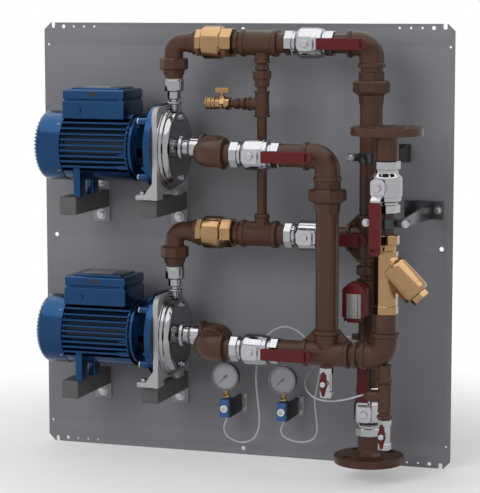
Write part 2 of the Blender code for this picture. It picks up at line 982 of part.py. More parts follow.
def make_foot_plate(level):
    hole = circle_points(foot_plate_hole, pipe_steps)
    plate = sheet(foot_plate_outline(), foot_plate_thickness, [hole])
    plate.data.transform(Matrix.Rotation(math.radians(90), 4, "Z"))
    put(plate, (foot_plate_x + foot_plate_thickness / 2, 0, 0), "X")
    pieces = [plate]
    for side in (-1, 1):
        outer = side * (foot_plate_half_width - face_step)
        inner = side * (foot_plate_half_width - toe_width)
        low, high = min(outer, inner), max(outer, inner)
        pieces.append(
            block(
                (foot_plate_x - toe_length, low, -foot_plate_bottom - face_step),
                (foot_plate_x + overrun, high, toe_thickness - foot_plate_bottom),
            )
        )
        corner = toe_thickness - foot_plate_bottom
        outline = [
            (foot_plate_x - gusset_length, corner - overrun),
            (foot_plate_x + overrun, corner - overrun),
            (foot_plate_x + overrun, corner + gusset_height),
            (foot_plate_x - face_step, corner + gusset_height),
        ]
        web = sheet(outline, gusset_thickness)
        middle = outer - side * (gusset_thickness / 2 + face_step)
        pieces.append(put(web, (0, middle, 0), "-Y"))
    body = unite(pieces)
    put(body, (0, pump_axis_y, pump_levels[level]))
    finish(body, level + "_foot_plate", "cast_grey")


# Pump casing with its suction nipple, discharge stub and socket
def casing_profile():
    step_x = casing_rear_x + casing_rim_length
    face_x = step_x + casing_step_length
    return [
        (casing_rear_x, casing_rim_radius),
        (step_x, casing_rim_radius),
        (step_x, casing_step_radius),
        (face_x, casing_step_radius),
        (face_x, casing_face_radius),
        (casing_front_x - casing_rounding, casing_face_radius),
        (casing_front_x, casing_face_radius - casing_rounding),
        (casing_front_x, suction_boss_radius),
        (casing_front_x + suction_boss_length, suction_boss_radius),
        (casing_front_x + suction_boss_length, suction_nipple_radius),
        (suction_nipple_end_x, suction_nipple_radius),
    ]


def casing_hollow():
    inner_x = casing_front_x - casing_wall
    return [
        (casing_rear_x - overrun, casing_face_radius - casing_wall),
        (inner_x - casing_rounding, casing_face_radius - casing_wall),
        (inner_x, casing_face_radius - casing_wall - casing_rounding),
        (inner_x, suction_bore_radius),
        (suction_nipple_end_x + overrun, suction_bore_radius),
    ]


def make_casing(level):
    shell = put(turned(casing_profile(), flange_steps), axis="X")
    start = casing_face_radius - casing_rounding
    collar_bottom = casing_rim_radius + overrun
    stub = turned(
        [
            (start, stub_radius),
            (collar_bottom, stub_radius),
            (collar_bottom, stub_collar_radius),
            (collar_bottom + stub_collar_height, stub_radius),
            (stub_top, stub_radius),
            (stub_top, neck_radius),
            (neck_top, neck_radius),
            (neck_top, socket_radius),
            (socket_top, socket_radius),
        ]
    )
    put(stub, (discharge_drop_x, 0, 0))
    pieces = [shell, stub]
    for height in (casing_plug_circle, -casing_plug_circle):
        plug = polygon_bar(casing_plug_radius, -overrun, casing_plug_length)
        pieces.append(put(plug, (casing_front_x, 0, height), "X"))
    stub_bore = rod(stub_bore_radius, start - casing_wall - overrun, socket_top + overrun, small_steps)
    put(stub_bore, (discharge_drop_x, 0, 0))
    hollow = put(turned(casing_hollow(), hollow_steps), axis="X")
    body = cut(unite(pieces), [hollow, stub_bore])
    put(body, (0, pump_axis_y, pump_levels[level]))
    finish(body, level + "_pump_casing", "stainless")


# Rotor: one shaft with the fan, the rotor core and the impeller keyed on it
def blades(count, inner, outer, thickness, start, end):
    pieces = []
    for index in range(count):
        blade = block((inner, -thickness / 2, start), (outer, thickness / 2, end))
        turn_about(blade, (0, 0, 0), "Z", 360 * index / count)
        pieces.append(blade)
    return pieces


def make_rotor(level):
    cowl_rear = motor_rear_x - seat_gap - cowl_length
    fan_start = cowl_rear + cowl_slot_depth + fan_gap / 2
    fan_end = fan_start + fan_width
    impeller_end = casing_front_x - casing_wall - impeller_gap
    plate_start = impeller_end - impeller_vane_height - impeller_plate
    shaft = turned(
        [
            (fan_start - fan_gap / 2, shaft_radius),
            (fan_start, shaft_radius),
            (fan_start, fan_hub_radius),
            (fan_end, fan_hub_radius),
            (fan_end, shaft_radius),
            (motor_rear_x + end_wall + core_gap, shaft_radius),
            (motor_rear_x + end_wall + core_gap, rotor_bore_radius - core_gap),
            (motor_front_x - end_wall - core_gap, rotor_bore_radius - core_gap),
            (motor_front_x - end_wall - core_gap, shaft_radius),
            (plate_start, shaft_radius),
            (plate_start, impeller_radius),
            (plate_start + impeller_plate, impeller_radius),
            (plate_start + impeller_plate, shaft_radius),
            (impeller_end, shaft_radius),
        ]
    )
    pieces = [shaft]
    inner = fan_hub_radius - overrun
    pieces += blades(fan_blades, inner, fan_radius, fan_blade_thickness, fan_start, fan_end)
    vane_start = plate_start + impeller_plate / 2
    outer = impeller_radius - overrun
    pieces += blades(
        impeller_vanes, impeller_eye_radius, outer, impeller_vane_thickness, vane_start, impeller_end
    )
    body = put(unite(pieces), axis="X")
    centre = (casing_front_x, pump_axis_y, pump_levels[level])
    put(body, (0, pump_axis_y, pump_levels[level]))
    finish(body, level + "_rotor", "rotor_steel", centre)


# Screwed fittings that the pipe runs share
def elbow(centre, first, second, body_radius=elbow_radius, ring_radius=bead_radius):
    """A quarter bend between two directions, with a beaded mouth at each end."""
    centre = Vector(centre)
    first = Vector(first)
    second = Vector(second)
    turn = bend_radius
    reach = elbow_reach
    points = [centre + first * (reach - bead_length / 2)]
    for index in range(bend_parts + 1):
        angle = math.radians(90 * index / bend_parts)
        along = first * (turn - turn * math.sin(angle)) + second * (turn - turn * math.cos(angle))
        points.append(centre + along)
    points.append(centre + second * (reach - bead_length / 2))
    pieces = [bent_rod(points, body_radius, 3)]
    for direction in (first, second):
        pieces.append(bead(centre, direction, ring_radius))
    return pieces


def axis_name(direction):
    names = {(1, 0, 0): "X", (-1, 0, 0): "-X", (0, 1, 0): "Y", (0, -1, 0): "-Y"}
    names.update({(0, 0, 1): "Z", (0, 0, -1): "-Z"})
    return names[tuple(round(value) for value in direction)]


def bead(centre, direction, radius=bead_radius):
    reach = elbow_reach
    ring = turned(
        [
            (reach - bead_length, elbow_radius - overrun),
            (reach - bead_length * bead_share, radius),
            (reach, radius),
        ],
        half_step=True,
    )
    return put(ring, centre, axis_name(direction))


def tee(centre, run, branch):
    """A tee whose run goes both ways along one direction, with one branch."""
    back = tuple(-value for value in run)
    length = elbow_reach - bead_length / 2
    body = put(rod(elbow_radius, -length, length), centre, axis_name(run))
    side = put(rod(tee_branch_radius, 0, length, half_step=True), centre, axis_name(branch))
    return [body, side] + [bead(centre, direction) for direction in (run, back, branch)]


def gusset(centre, run, branch):
    """A small web in the corner between the run and the branch of a tee."""
    centre = Vector(centre)
    run = Vector(run)
    branch = Vector(branch)
    corner = centre + (run + branch) * (elbow_radius - tee_gusset_thickness / 2)
    across = run.cross(branch)
    reach = tee_gusset_size
    mesh = bpy.data.meshes.new("web")
    shape = bmesh.new()
    bmesh.ops.create_cone(shape, cap_ends=True, segments=3, radius1=1, radius2=1, depth=1)
    corners = [corner, corner + run * reach, corner + branch * reach]
    for vertex in shape.verts:
        angle = math.atan2(vertex.co.y, vertex.co.x)
        index = round(angle / (math.tau / 3)) % 3
        vertex.co = corners[index] + across * tee_gusset_thickness * vertex.co.z
    bmesh.ops.recalc_face_normals(shape, faces=shape.faces)
    shape.to_mesh(mesh)
    shape.free()
    return new_piece(mesh)


def union_joint(centre_x, centre_y, top):
    """The three rings of a screwed union below a height: ring, nut and base."""
    nut_top = top - union_ring_length
    nut_bottom = nut_top - union_nut_length
    base_bottom = nut_bottom - union_base_length
    ring = polygon_bar(union_ring_radius, nut_top - overrun, top, 8)
    nut = polygon_bar(union_nut_radius, nut_bottom, nut_top, 8, corner_turn)
    base = turned(
        [
            (base_bottom, union_ring_radius - overrun),
            (nut_bottom - union_nut_chamfer, union_ring_radius),
            (nut_bottom + overrun, union_nut_radius - union_nut_chamfer),
        ],
        8,
    )
    return [put(piece, (centre_x, centre_y, 0)) for piece in (ring, nut, base)], base_bottom


# Discharge bends
def make_discharge_bend(level):
    axis_z = pump_levels[level]
    line_z = axis_z + discharge_rise
    start = axis_z + socket_top + seat_gap
    nut_start = start + bend_tail_length
    nut_end = nut_start + bend_nut_length
    origin = (discharge_drop_x, pump_axis_y, 0)
    tail = put(rod(bend_pipe_radius, start, nut_start + overrun), origin)
    nut = put(polygon_bar(bend_nut_radius, nut_start, nut_end, 8, corner_turn), origin)
    turn = bend_turn_radius
    points = [(discharge_drop_x, pump_axis_y, nut_end - overrun)]
    for index in range(bend_parts + 1):
        angle = math.radians(90 * index / bend_parts)
        x = discharge_drop_x + turn - turn * math.cos(angle)
        z = line_z - turn + turn * math.sin(angle)
        points.append((x, pump_axis_y, z))
    collar_end = check_rear_x
    collar_start = collar_end - bend_collar_length
    points.append((collar_start + overrun, pump_axis_y, line_z))
    pipe = bent_rod(points, bend_pipe_radius, 3)
    collar = put(
        turned(
            [
                (collar_start, bend_pipe_radius - overrun),
                (collar_start + bend_collar_length / 4, bend_collar_radius),
                (collar_end, bend_collar_radius),
            ],
            half_step=True,
        ),
        (0, pump_axis_y, line_z),
        "X",
    )
    finish(unite([tail, nut, pipe, collar]), level + "_discharge_bend", "brown_paint")


# Check valves
def make_check_valve(level):
    line_z = pump_levels[level] + discharge_rise
    start = check_rear_x + seat_gap
    end = start + check_length
    body_start = start + check_hex_length
    body_end = end - check_front_length
    origin = (0, pump_axis_y, line_z)
    barrel = turned(
        [
            (body_start - overrun, check_body_radius - check_chamfer),
            (body_start + overrun, check_body_radius),
            (body_end - check_chamfer, check_body_radius),
            (body_end + overrun, check_hex_radius - overrun),
        ]
    )
    rear = polygon_bar(check_hex_radius, start, body_start, 6)
    front = polygon_bar(check_hex_radius, body_end, end, 8)
    body = unite([put(piece, origin, "X") for piece in (barrel, rear, front)])
    cavity_start = start + check_cavity_start
    cavity_end = cavity_start + check_cavity_length
    inside = turned(
        [
            (start - overrun, check_bore_radius),
            (cavity_start, check_bore_radius),
            (cavity_start, check_cavity_radius),
            (cavity_end, check_cavity_radius),
            (cavity_end, check_bore_radius),
            (end + overrun, check_bore_radius),
        ],
        small_steps,
    )
    body = cut(body, [put(inside, origin, "X")])
    guide_start = cavity_end + (end - cavity_end) * poppet_guide_share
    guide_outer = poppet_guide_radius + poppet_guide_arm
    guide_end = end - overrun
    guide = tube(poppet_guide_radius, guide_outer, guide_start, guide_end, small_steps)
    pieces = [body, put(guide, origin, "X")]
    half = poppet_guide_arm / 2
    for side in (-1, 1):
        near = side * (poppet_guide_radius + half)
        far = side * (check_bore_radius + overrun)
        spoke = block(
            (-half, min(near, far), guide_start + overrun),
            (half, max(near, far), guide_end - overrun),
        )
        pieces.append(put(spoke, origin, "X"))
    finish(unite(pieces), level + "_check_valve", "brass")
    disc_start = cavity_start + seat_gap
    poppet = turned(
        [
            (disc_start, poppet_radius),
            (disc_start + poppet_thickness, poppet_radius),
            (disc_start + poppet_thickness, poppet_stem_radius),
            (disc_start + poppet_thickness + poppet_stem_length, poppet_stem_radius),
        ]
    )
    put(poppet, origin, "X")
    finish(poppet, level + "_check_poppet", "brass", (disc_start, pump_axis_y, line_z))


# Link pipe with a tee on each discharge line
def make_link_pipe():
    top_z = pump_levels["upper"] + discharge_rise
    low_z = pump_levels["lower"] + discharge_rise
    nipple_start = check_rear_x + seat_gap + check_length + seat_gap
    nipple_end = discharge_valve_start - seat_gap
    pieces = []
    for line_z in (top_z, low_z):
        origin = (0, pump_axis_y, line_z)
        run = turned(
            [
                (nipple_start, nipple_radius),
                (tee_start_x, nipple_radius),
                (tee_start_x, bead_radius),
                (tee_start_x + bead_length, bead_radius),
                (tee_start_x + bead_length + overrun, elbow_radius),
                (tee_end_x - bead_length - overrun, elbow_radius),
                (tee_end_x - bead_length, bead_radius),
                (tee_end_x, bead_radius),
                (tee_end_x, nipple_radius),
                (nipple_end, nipple_radius),
            ]
        )
        pieces.append(put(run, origin, "X"))
    column = (link_x, pump_axis_y, 0)
    nut_top = top_z - link_union_top
    nut_bottom = nut_top - link_nut_length
    body_bottom = nut_bottom - link_body_length
    tee_z = top_z - small_tee_drop
    tee_top = tee_z + small_tee_half
    tee_bottom = tee_z - small_tee_half
    low_boss = low_z + link_boss_drop
    pipe = turned(
        [
            (low_z, link_boss_radius),
            (low_boss, link_boss_radius),
            (low_boss, link_radius),
            (tee_bottom, link_radius),
            (tee_bottom, small_tee_radius),
            (tee_top, small_tee_radius),
            (tee_top, link_radius),
            (body_bottom, link_radius),
            (body_bottom, link_body_radius),
            (nut_bottom + overrun, link_body_radius),
            (nut_bottom + overrun, link_radius),
            (top_z - link_boss_drop, link_radius),
            (top_z - link_boss_drop, link_boss_radius),
            (top_z, link_boss_radius),
        ],
        small_steps,
    )
    pieces.append(put(pipe, column))
    pieces.append(put(polygon_bar(link_nut_radius, nut_bottom, nut_top, 8), column))
    branch = turned(
        [
            (cock_end_x + seat_gap, cock_pipe_radius),
            (link_x - small_tee_half, cock_pipe_radius),
            (link_x - small_tee_half, small_tee_radius),
            (link_x - small_tee_half / 2, small_tee_radius - overrun),
            (link_x, small_tee_radius - overrun),
        ],
        small_steps,
        half_step=True,
    )
    pieces.append(put(branch, (0, pump_axis_y, tee_z), "X"))
    finish(unite(pieces), "link_pipe", "brown_paint")


# Drain cock on the link pipe
def make_drain_cock():
    line_z = pump_levels["upper"] + discharge_rise - small_tee_drop
    start = cock_end_x - cock_length
    profile = [(start - cock_nose_length, cock_nose_radius), (start, cock_nose_radius)]
    place = start
    for _ in range(cock_ribs):
        profile += [(place, cock_rib_radius), (place + cock_rib_pitch / 2, cock_rib_radius)]
        profile += [(place + cock_rib_pitch / 2, cock_radius), (place + cock_rib_pitch, cock_radius)]
        place += cock_rib_pitch
    profile += [(cock_end_x - cock_rib_pitch, cock_radius)]
    profile += [(cock_end_x - cock_rib_pitch, cock_rib_radius), (cock_end_x, cock_rib_radius)]
    barrel = put(turned(profile, small_steps), (0, pump_axis_y, line_z), "X")
    centre = (cock_handle_x, pump_axis_y, line_z)
    boss = put(rod(cock_boss_radius, 0, cock_boss_height, small_steps), centre)
    bore_start = start - cock_nose_length - overrun
    bore = rod(cock_nose_radius - overrun, bore_start, start, small_steps)
    put(bore, (0, pump_axis_y, line_z), "X")
    well = put(
        turned(
            [
                (-cock_plug_radius - stem_gap, cock_plug_radius - overrun),
                (cock_plug_radius, cock_plug_radius - overrun),
                (cock_plug_radius, cock_stem_radius + stem_gap),
                (cock_boss_height + overrun, cock_stem_radius + stem_gap),
            ],
            small_steps,
        ),
        centre,
    )
    finish(cut(unite([barrel, boss]), [bore, well]), "drain_cock", "brass")
    plug_top = cock_plug_radius - stem_gap
    plug_radius = cock_plug_radius - overrun - stem_gap
    stem = turned(
        [
            (-cock_plug_radius, plug_radius),
            (plug_top, plug_radius),
            (plug_top, cock_stem_radius),
            (cock_handle_lift + cock_handle_height / 2, cock_stem_radius),
        ],
        small_steps,
    )
    grip = block(
        (-cock_handle_length / 2, -cock_handle_thickness / 2, cock_handle_lift),
        (cock_handle_length / 2, cock_handle_thickness / 2, cock_handle_lift + cock_handle_height),
        overrun / 2,
        1,
    )
    handle = put(unite([stem, grip]), centre)
    finish(handle, "drain_cock_handle", "brass", centre)


# Ball valves and their levers, made along X with the stem towards -Y
def valve_body():
    half = valve_half
    waist = half - valve_hex_length
    shoulder = waist - valve_waist_length
    cheek = shoulder - valve_cone_length
    barrel = turned(
        [
            (-waist - overrun, valve_waist_radius),
            (-shoulder, valve_waist_radius),
            (-cheek, valve_body_radius),
            (cheek, valve_body_radius),
            (cheek + overrun, valve_body_radius - overrun),
            (shoulder + overrun, valve_body_radius - overrun),
            (shoulder + overrun, valve_waist_radius),
            (waist + overrun, valve_waist_radius),
        ]
    )
    pieces = [put(barrel, axis="X")]
    for start, end in ((-half, -waist), (waist, half)):
        bar = polygon_bar(valve_hex_radius, start, end, 8, corner_turn)
        pieces.append(put(bar, axis="X"))
    pieces.append(put(rod(valve_neck_radius, 0, valve_neck_reach, small_steps), axis="-Y"))
    body = unite(pieces)
    flow = put(rod(valve_bore_radius, -half - overrun, half + overrun, small_steps), axis="X")
    well = put(
        turned(
            ball_profile(valve_ball_radius + ball_gap)
            + [(valve_neck_reach + overrun, valve_stem_radius + stem_gap)],
            ball_steps,
        ),
        axis="-Y",
    )
    return cut(body, [flow, well])


def ball_profile(radius):
    """The ball's outline about the stem, from the far pole to the stem."""
    points = []
    stem = valve_stem_radius + (radius - valve_ball_radius) / ball_gap * stem_gap
    last = math.degrees(math.acos(stem / radius))
    for index in range(ball_rings + 1):
        angle = math.radians((ball_back_angle + last) * index / ball_rings - ball_back_angle)
        points.append((radius * math.sin(angle), radius * math.cos(angle)))
    return points


def make_valve(name, centre, turn, aside=0):
    body = valve_body()
    turn_about(body, (0, 0, 0), "Y", turn)
    turn_about(body, (0, 0, 0), "Z", aside)
    put(body, centre)
    finish(body, name, "chrome")


def lever_shape():
    stem = turned(
        ball_profile(valve_ball_radius) + [(hub_reach + hub_thickness, valve_stem_radius)],
        ball_steps,
    )
    put(stem, axis="-Y")
    bore = put(rod(valve_bore_radius - overrun, -valve_half, valve_half, small_steps), axis="X")
    stem = cut(stem, [bore])
    hub = block(
        (-hub_length / 2, -hub_reach - hub_thickness, -hub_height / 2),
        (hub_length / 2, -hub_reach, hub_height / 2),
    )
    nut_start = hub_reach + hub_thickness - overrun
    nut = put(polygon_bar(lever_nut_radius, nut_start, nut_start + lever_nut_length + overrun), axis="-Y")
    step_y = -hub_reach - hub_thickness / 2
    far_y = step_y - lever_step_reach
    start = hub_length / 2 - hub_corner
    strip_start = start + lever_step_length
    half_sheet = hub_thickness / 2
    outline = [
        (start, step_y - half_sheet),
        (strip_start, far_y - half_sheet),
        (sleeve_start + lever_step_length * 2, far_y - half_sheet),
        (sleeve_start + lever_step_length * 2, far_y + half_sheet),
        (strip_start, far_y + half_sheet),
        (start, step_y + half_sheet),
    ]
    strip = sheet(outline[::-1], lever_strip_height)
    end = sleeve_start + sleeve_length
    half = sleeve_height / 2
    sleeve_outline = arc_points((end - half, 0), half, -90, 90, 4)
    sleeve_outline += [(sleeve_start, half), (sleeve_start, -half)]
    slot_x = end - sleeve_slot_inset
    slot = arc_points((slot_x, sleeve_slot_length / 2), sleeve_slot_height / 2, 0, 180, 2)
    slot += arc_points((slot_x, -sleeve_slot_length / 2), sleeve_slot_height / 2, 180, 360, 2)
    sleeve = sheet(sleeve_outline, sleeve_thickness, [slot])
    put(sleeve, (0, far_y, 0), "-Y")
    return unite([stem, hub, nut, strip, sleeve])


def make_lever(name, centre, turn, aside=0):
    lever = lever_shape()
    turn_about(lever, (0, 0, 0), "Y", turn)
    turn_about(lever, (0, 0, 0), "Z", aside)
    put(lever, centre)
    finish(lever, name, "red_sleeve", centre)


# Riser on the discharge side
def make_riser():
    top_z = pump_levels["upper"] + discharge_rise
    low_z = pump_levels["lower"] + discharge_rise
    start = discharge_valve_end + seat_gap
    top = (riser_x, pump_axis_y, top_z)
    low = (riser_x, pump_axis_y, low_z)
    pieces = elbow(top, (-1, 0, 0), (0, 0, -1))
    for line_z in (top_z, low_z):
        nipple = rod(nipple_radius, start, riser_x - elbow_reach + overrun)
        pieces.append(put(nipple, (0, pump_axis_y, line_z), "X"))
    pieces += tee(low, (0, 0, 1), (-1, 0, 0))
    for side in ((0, 0, 1), (0, 0, -1)):
        pieces.append(gusset(low, side, (-1, 0, 0)))
    union_top = top_z - elbow_reach - union_tail_length
    rings, union_bottom = union_joint(riser_x, pump_axis_y, union_top)
    pieces += rings
    column = (riser_x, pump_axis_y, 0)
    neck = rod(nipple_radius + overrun, union_top - overrun, top_z - elbow_reach + overrun)
    pieces.append(put(neck, column))
    upper_pipe = rod(pipe_radius, low_z + elbow_reach - overrun, union_bottom + overrun)
    pieces.append(put(upper_pipe, column))
    lower_top = low_z - elbow_reach + overrun
    bottom = outlet_valve_top + seat_gap
    coupling_top = low_z - elbow_reach - union_tail_length
    second_top = coupling_top - coupling_length - union_tail_length
    lower = turned(
        [
            (bottom, nipple_radius),
            (bottom + coupling_length / 2, nipple_radius),
            (bottom + coupling_length / 2, pipe_radius),
            (second_top - coupling_length, pipe_radius),
            (second_top - coupling_length, coupling_radius),
            (second_top, coupling_radius),
            (second_top, nipple_radius),
            (coupling_top - coupling_length, nipple_radius),
            (coupling_top - coupling_length, coupling_radius),
            (coupling_top, coupling_radius),
            (coupling_top, nipple_radius),
            (lower_top, nipple_radius),
        ]
    )
    pieces.append(put(lower, column))
    boss = rod(flow_boss_radius, 0, pipe_radius + flow_boss_length, small_steps)
    pieces.append(put(boss, (riser_x, pump_axis_y, flow_switch_z), "-Y"))
    socket = rod(tube_boss_radius, 0, pipe_radius + tube_boss_length, small_steps)
    pieces.append(put(socket, (riser_x, pump_axis_y, tube_boss_z), "-X"))
    finish(unite(pieces), "riser", "brown_paint")


# Flow switch on the riser
def make_flow_switch():
    right = flow_box_left + flow_box_width
    corner = flow_box_corner
    half = flow_box_height / 2
    outline = [
        (flow_box_left + corner, -half),
        (right - corner, -half),
        (right, corner - half),
        (right, half - corner),
        (right - corner, half),
        (flow_box_left + corner, half),
        (flow_box_left, half - corner),
        (flow_box_left, corner - half),
    ]
    middle_y = flow_box_back_y - flow_box_depth / 2
    box = put(sheet(outline, flow_box_depth), (0, middle_y, flow_switch_z), "-Y")
    near = flow_box_back_y - flow_box_depth
    cover = block(
        (flow_cover_left, near - flow_cover_thickness, flow_switch_z - flow_cover_drop),
        (flow_cover_right, near + overrun, flow_switch_z + flow_cover_rise),
    )
    stem_start = pipe_radius + flow_boss_length + seat_gap
    stem_end = pump_axis_y - flow_box_back_y + overrun
    stem = rod(flow_stem_radius, stem_start, stem_end, small_steps)
    put(stem, (riser_x, pump_axis_y, flow_switch_z), "-Y")
    finish(unite([box, cover, stem]), "flow_switch", "red_sleeve")


# Flanges: a pipe end with a flange, its face and its bolt holes
def make_flange(name, x, y, face_z, pipe_end_z):
    down = -1 if pipe_end_z < face_z else 1
    back_z = raised_face_height
    plate_end = back_z + flange_thickness
    hub_end = plate_end + flange_hub_length
    length = abs(face_z - pipe_end_z)
    body = turned(
        [
            (0, flange_bore_radius),
            (0, raised_face_radius),
            (back_z, raised_face_radius),
            (back_z, flange_radius),
            (plate_end, flange_radius),
            (plate_end, flange_hub_radius),
            (hub_end, pipe_radius),
            (length, pipe_radius),
            (length, flange_bore_radius),
        ],
        flange_steps,
        ring=True,
    )
    cutters = []
    for index in range(bolt_holes):
        angle = math.tau * (index + 0.5) / bolt_holes
        place = (bolt_circle_radius * math.cos(angle), bolt_circle_radius * math.sin(angle), 0)
        cutters.append(put(rod(bolt_hole_radius, -overrun, plate_end + overrun, small_steps), place))
    body = cut(body, cutters)
    put(body, (x, y, face_z), "-Z" if down < 0 else "Z")
    finish(body, name, "brown_paint")


# Offset bends between pump and suction line
def make_suction_offset(level):
    axis_z = pump_levels[level]
    rear = (offset_x, pump_axis_y, axis_z)
    front = (offset_x, suction_y, axis_z)
    radii = (offset_elbow_radius, offset_bead_radius)
    pieces = elbow(rear, (-1, 0, 0), (0, -1, 0), *radii)
    pieces += elbow(front, (0, 1, 0), (1, 0, 0), *radii)
    gap_start = -pump_axis_y + elbow_reach - bead_length
    gap_end = -suction_y - elbow_reach + bead_length
    between = rod(nipple_radius + overrun, gap_start, gap_end)
    pieces.append(put(between, (offset_x, 0, axis_z), "-Y"))
    nipple = rod(nipple_radius, offset_x + elbow_reach - overrun, suction_valve_start - seat_gap)
    pieces.append(put(nipple, (0, suction_y, axis_z), "X"))
    finish(unite(pieces), level + "_suction_offset", "brown_paint")


# Suction manifold: drop from the upper line, two tees, and the tail that drains it
def make_manifold():
    top_z = pump_levels["upper"]
    low_z = manifold_z
    start = suction_valve_end + seat_gap
    drop_top = (drop_x, suction_y, top_z)
    drop_low = (drop_x, suction_y, low_z)
    corner = (inlet_x, suction_y, low_z)
    pieces = elbow(drop_top, (-1, 0, 0), (0, 0, -1))
    for line_z in (top_z, low_z):
        stub = rod(pipe_radius, start, drop_x - elbow_reach + overrun)
        pieces.append(put(stub, (0, suction_y, line_z), "X"))
    union_top = top_z - elbow_reach
    rings, union_bottom = union_joint(drop_x, suction_y, union_top + overrun)
    pieces += rings
    drop_pipe = rod(pipe_radius, low_z + elbow_reach - overrun, union_bottom + overrun)
    pieces.append(put(drop_pipe, (drop_x, suction_y, 0)))
    pieces += tee(drop_low, (1, 0, 0), (0, 0, 1))
    for side in ((1, 0, 0), (-1, 0, 0)):
        pieces.append(gusset(drop_low, side, (0, 0, 1)))
    run_start = drop_x + elbow_reach - overrun
    run_end = inlet_x - elbow_reach + overrun
    middle = (run_start + run_end) / 2
    run = turned(
        [
            (run_start, nipple_radius),
            (middle - hex_nipple_length / 2, nipple_radius),
            (middle - hex_nipple_length / 2, hex_nipple_radius),
            (middle + hex_nipple_length / 2, hex_nipple_radius),
            (middle + hex_nipple_length / 2, nipple_radius),
            (run_end, nipple_radius),
        ]
    )
    pieces.append(put(run, (0, suction_y, low_z), "X"))
    pieces += elbow(corner, (-1, 0, 0), (0, 0, 1))
    riser = rod(pipe_radius, low_z + elbow_reach - overrun, strainer_bottom_z - seat_gap)
    pieces.append(put(riser, (inlet_x, suction_y, 0)))
    boss_bottom = low_z - elbow_radius - branch_neck
    tee_z = low_z - sample_tee_drop
    tail = turned(
        [
            (sample_end_z, branch_ring_radius - overrun),
            (sample_end_z + branch_ring_length, branch_ring_radius),
            (tee_z - sample_tee_half, sample_tee_radius - overrun),
            (tee_z - sample_tee_half, sample_tee_radius),
            (tee_z + sample_tee_half, sample_tee_radius),
            (tee_z + sample_tee_half, branch_radius - overrun),
            (boss_bottom - branch_ring_length, branch_radius - overrun),
            (boss_bottom - branch_ring_length, branch_ring_radius),
            (boss_bottom, branch_ring_radius),
            (boss_bottom, branch_radius),
            (low_z, branch_radius),
        ],
        small_steps,
    )
    pieces.append(put(tail, (inlet_x, suction_y, 0)))
    reach = turned(
        [
            (0, sample_tee_radius - overrun),
            (sample_branch_reach - branch_ring_length, sample_tee_radius - overrun),
            (sample_branch_reach - branch_ring_length, tube_boss_radius),
            (sample_branch_reach, tube_boss_radius),
        ],
        small_steps,
    )
    pieces.append(put(reach, (inlet_x, suction_y, tee_z), "-X"))
    boss = rod(branch_radius, -elbow_radius - left_boss_length, 0, small_steps)
    pieces.append(put(boss, drop_low))
    finish(unite(pieces), "suction_manifold", "brown_paint")


# Strainer with its angled branch and cap
def branch_direction():
    angle = math.radians(strainer_branch_angle)
    return Vector((math.cos(angle), 0, -math.sin(angle)))


def point_along(piece, origin, direction):
    turn = direction.to_track_quat("Z", "Y").to_matrix().to_4x4()
    piece.data.transform(Matrix.Translation(Vector(origin)) @ turn)
    return piece


def make_strainer():
    top = inlet_valve_bottom - seat_gap
    column = turned(
        [
            (strainer_bottom_z + overrun, strainer_body_radius),
            (strainer_body_top, strainer_body_radius),
            (strainer_body_top + strainer_hex_length, strainer_neck_radius),
            (strainer_top_z - overrun, strainer_neck_radius),
            (strainer_top_z - overrun, clamp_nipple_radius),
            (top, clamp_nipple_radius),
        ]
    )
    lower_hex = polygon_bar(
        lower_hex_radius, strainer_bottom_z, strainer_bottom_z + lower_hex_length, 8
    )
    upper_hex = polygon_bar(
        strainer_hex_radius, strainer_top_z - strainer_hex_length, strainer_top_z, 8
    )
    pieces = [put(piece, (inlet_x, suction_y, 0)) for piece in (column, lower_hex, upper_hex)]
    origin = (inlet_x, suction_y, branch_start_z)
    barrel_start = branch_neck_end + branch_taper
    branch = turned(
        [
            (0, branch_neck_radius),
            (branch_neck_end, branch_neck_radius),
            (barrel_start, branch_barrel_radius),
            (branch_barrel_end - branch_taper, branch_barrel_radius),
            (branch_barrel_end, branch_barrel_radius - branch_taper / 2),
        ]
    )
    plug_end = branch_barrel_end + branch_plug_length
    plug = polygon_bar(branch_plug_radius, branch_barrel_end - overrun, plug_end)
    for piece in (branch, plug):
        pieces.append(point_along(piece, origin, branch_direction()))
    finish(unite(pieces), "strainer", "brass")


# Small valves with a wing handle, made upright with the stem towards -Y
def small_valve_body():
    half = small_valve_length / 2
    barrel = rod(small_valve_radius, -half + overrun, half - overrun, small_steps)
    pieces = [barrel]
    for start, end in ((-half, -half + small_valve_hex_length), (half - small_valve_hex_length, half)):
        pieces.append(polygon_bar(small_valve_hex_radius, start, end, 6))
    pieces.append(put(rod(small_neck_radius, 0, small_neck_reach, small_steps), axis="-Y"))
    flow = rod(small_valve_bore_radius, -half - overrun, half + overrun, small_steps)
    gap = small_ball_radius + stem_gap
    well = put(
        turned(
            [
                (-gap, small_ball_radius / 2),
                (-gap / 2, gap),
                (gap / 2, gap),
                (gap, small_stem_radius + stem_gap),
                (small_neck_reach + overrun, small_stem_radius + stem_gap),
            ],
            small_steps,
        ),
        axis="-Y",
    )
    return cut(unite(pieces), [flow, well])


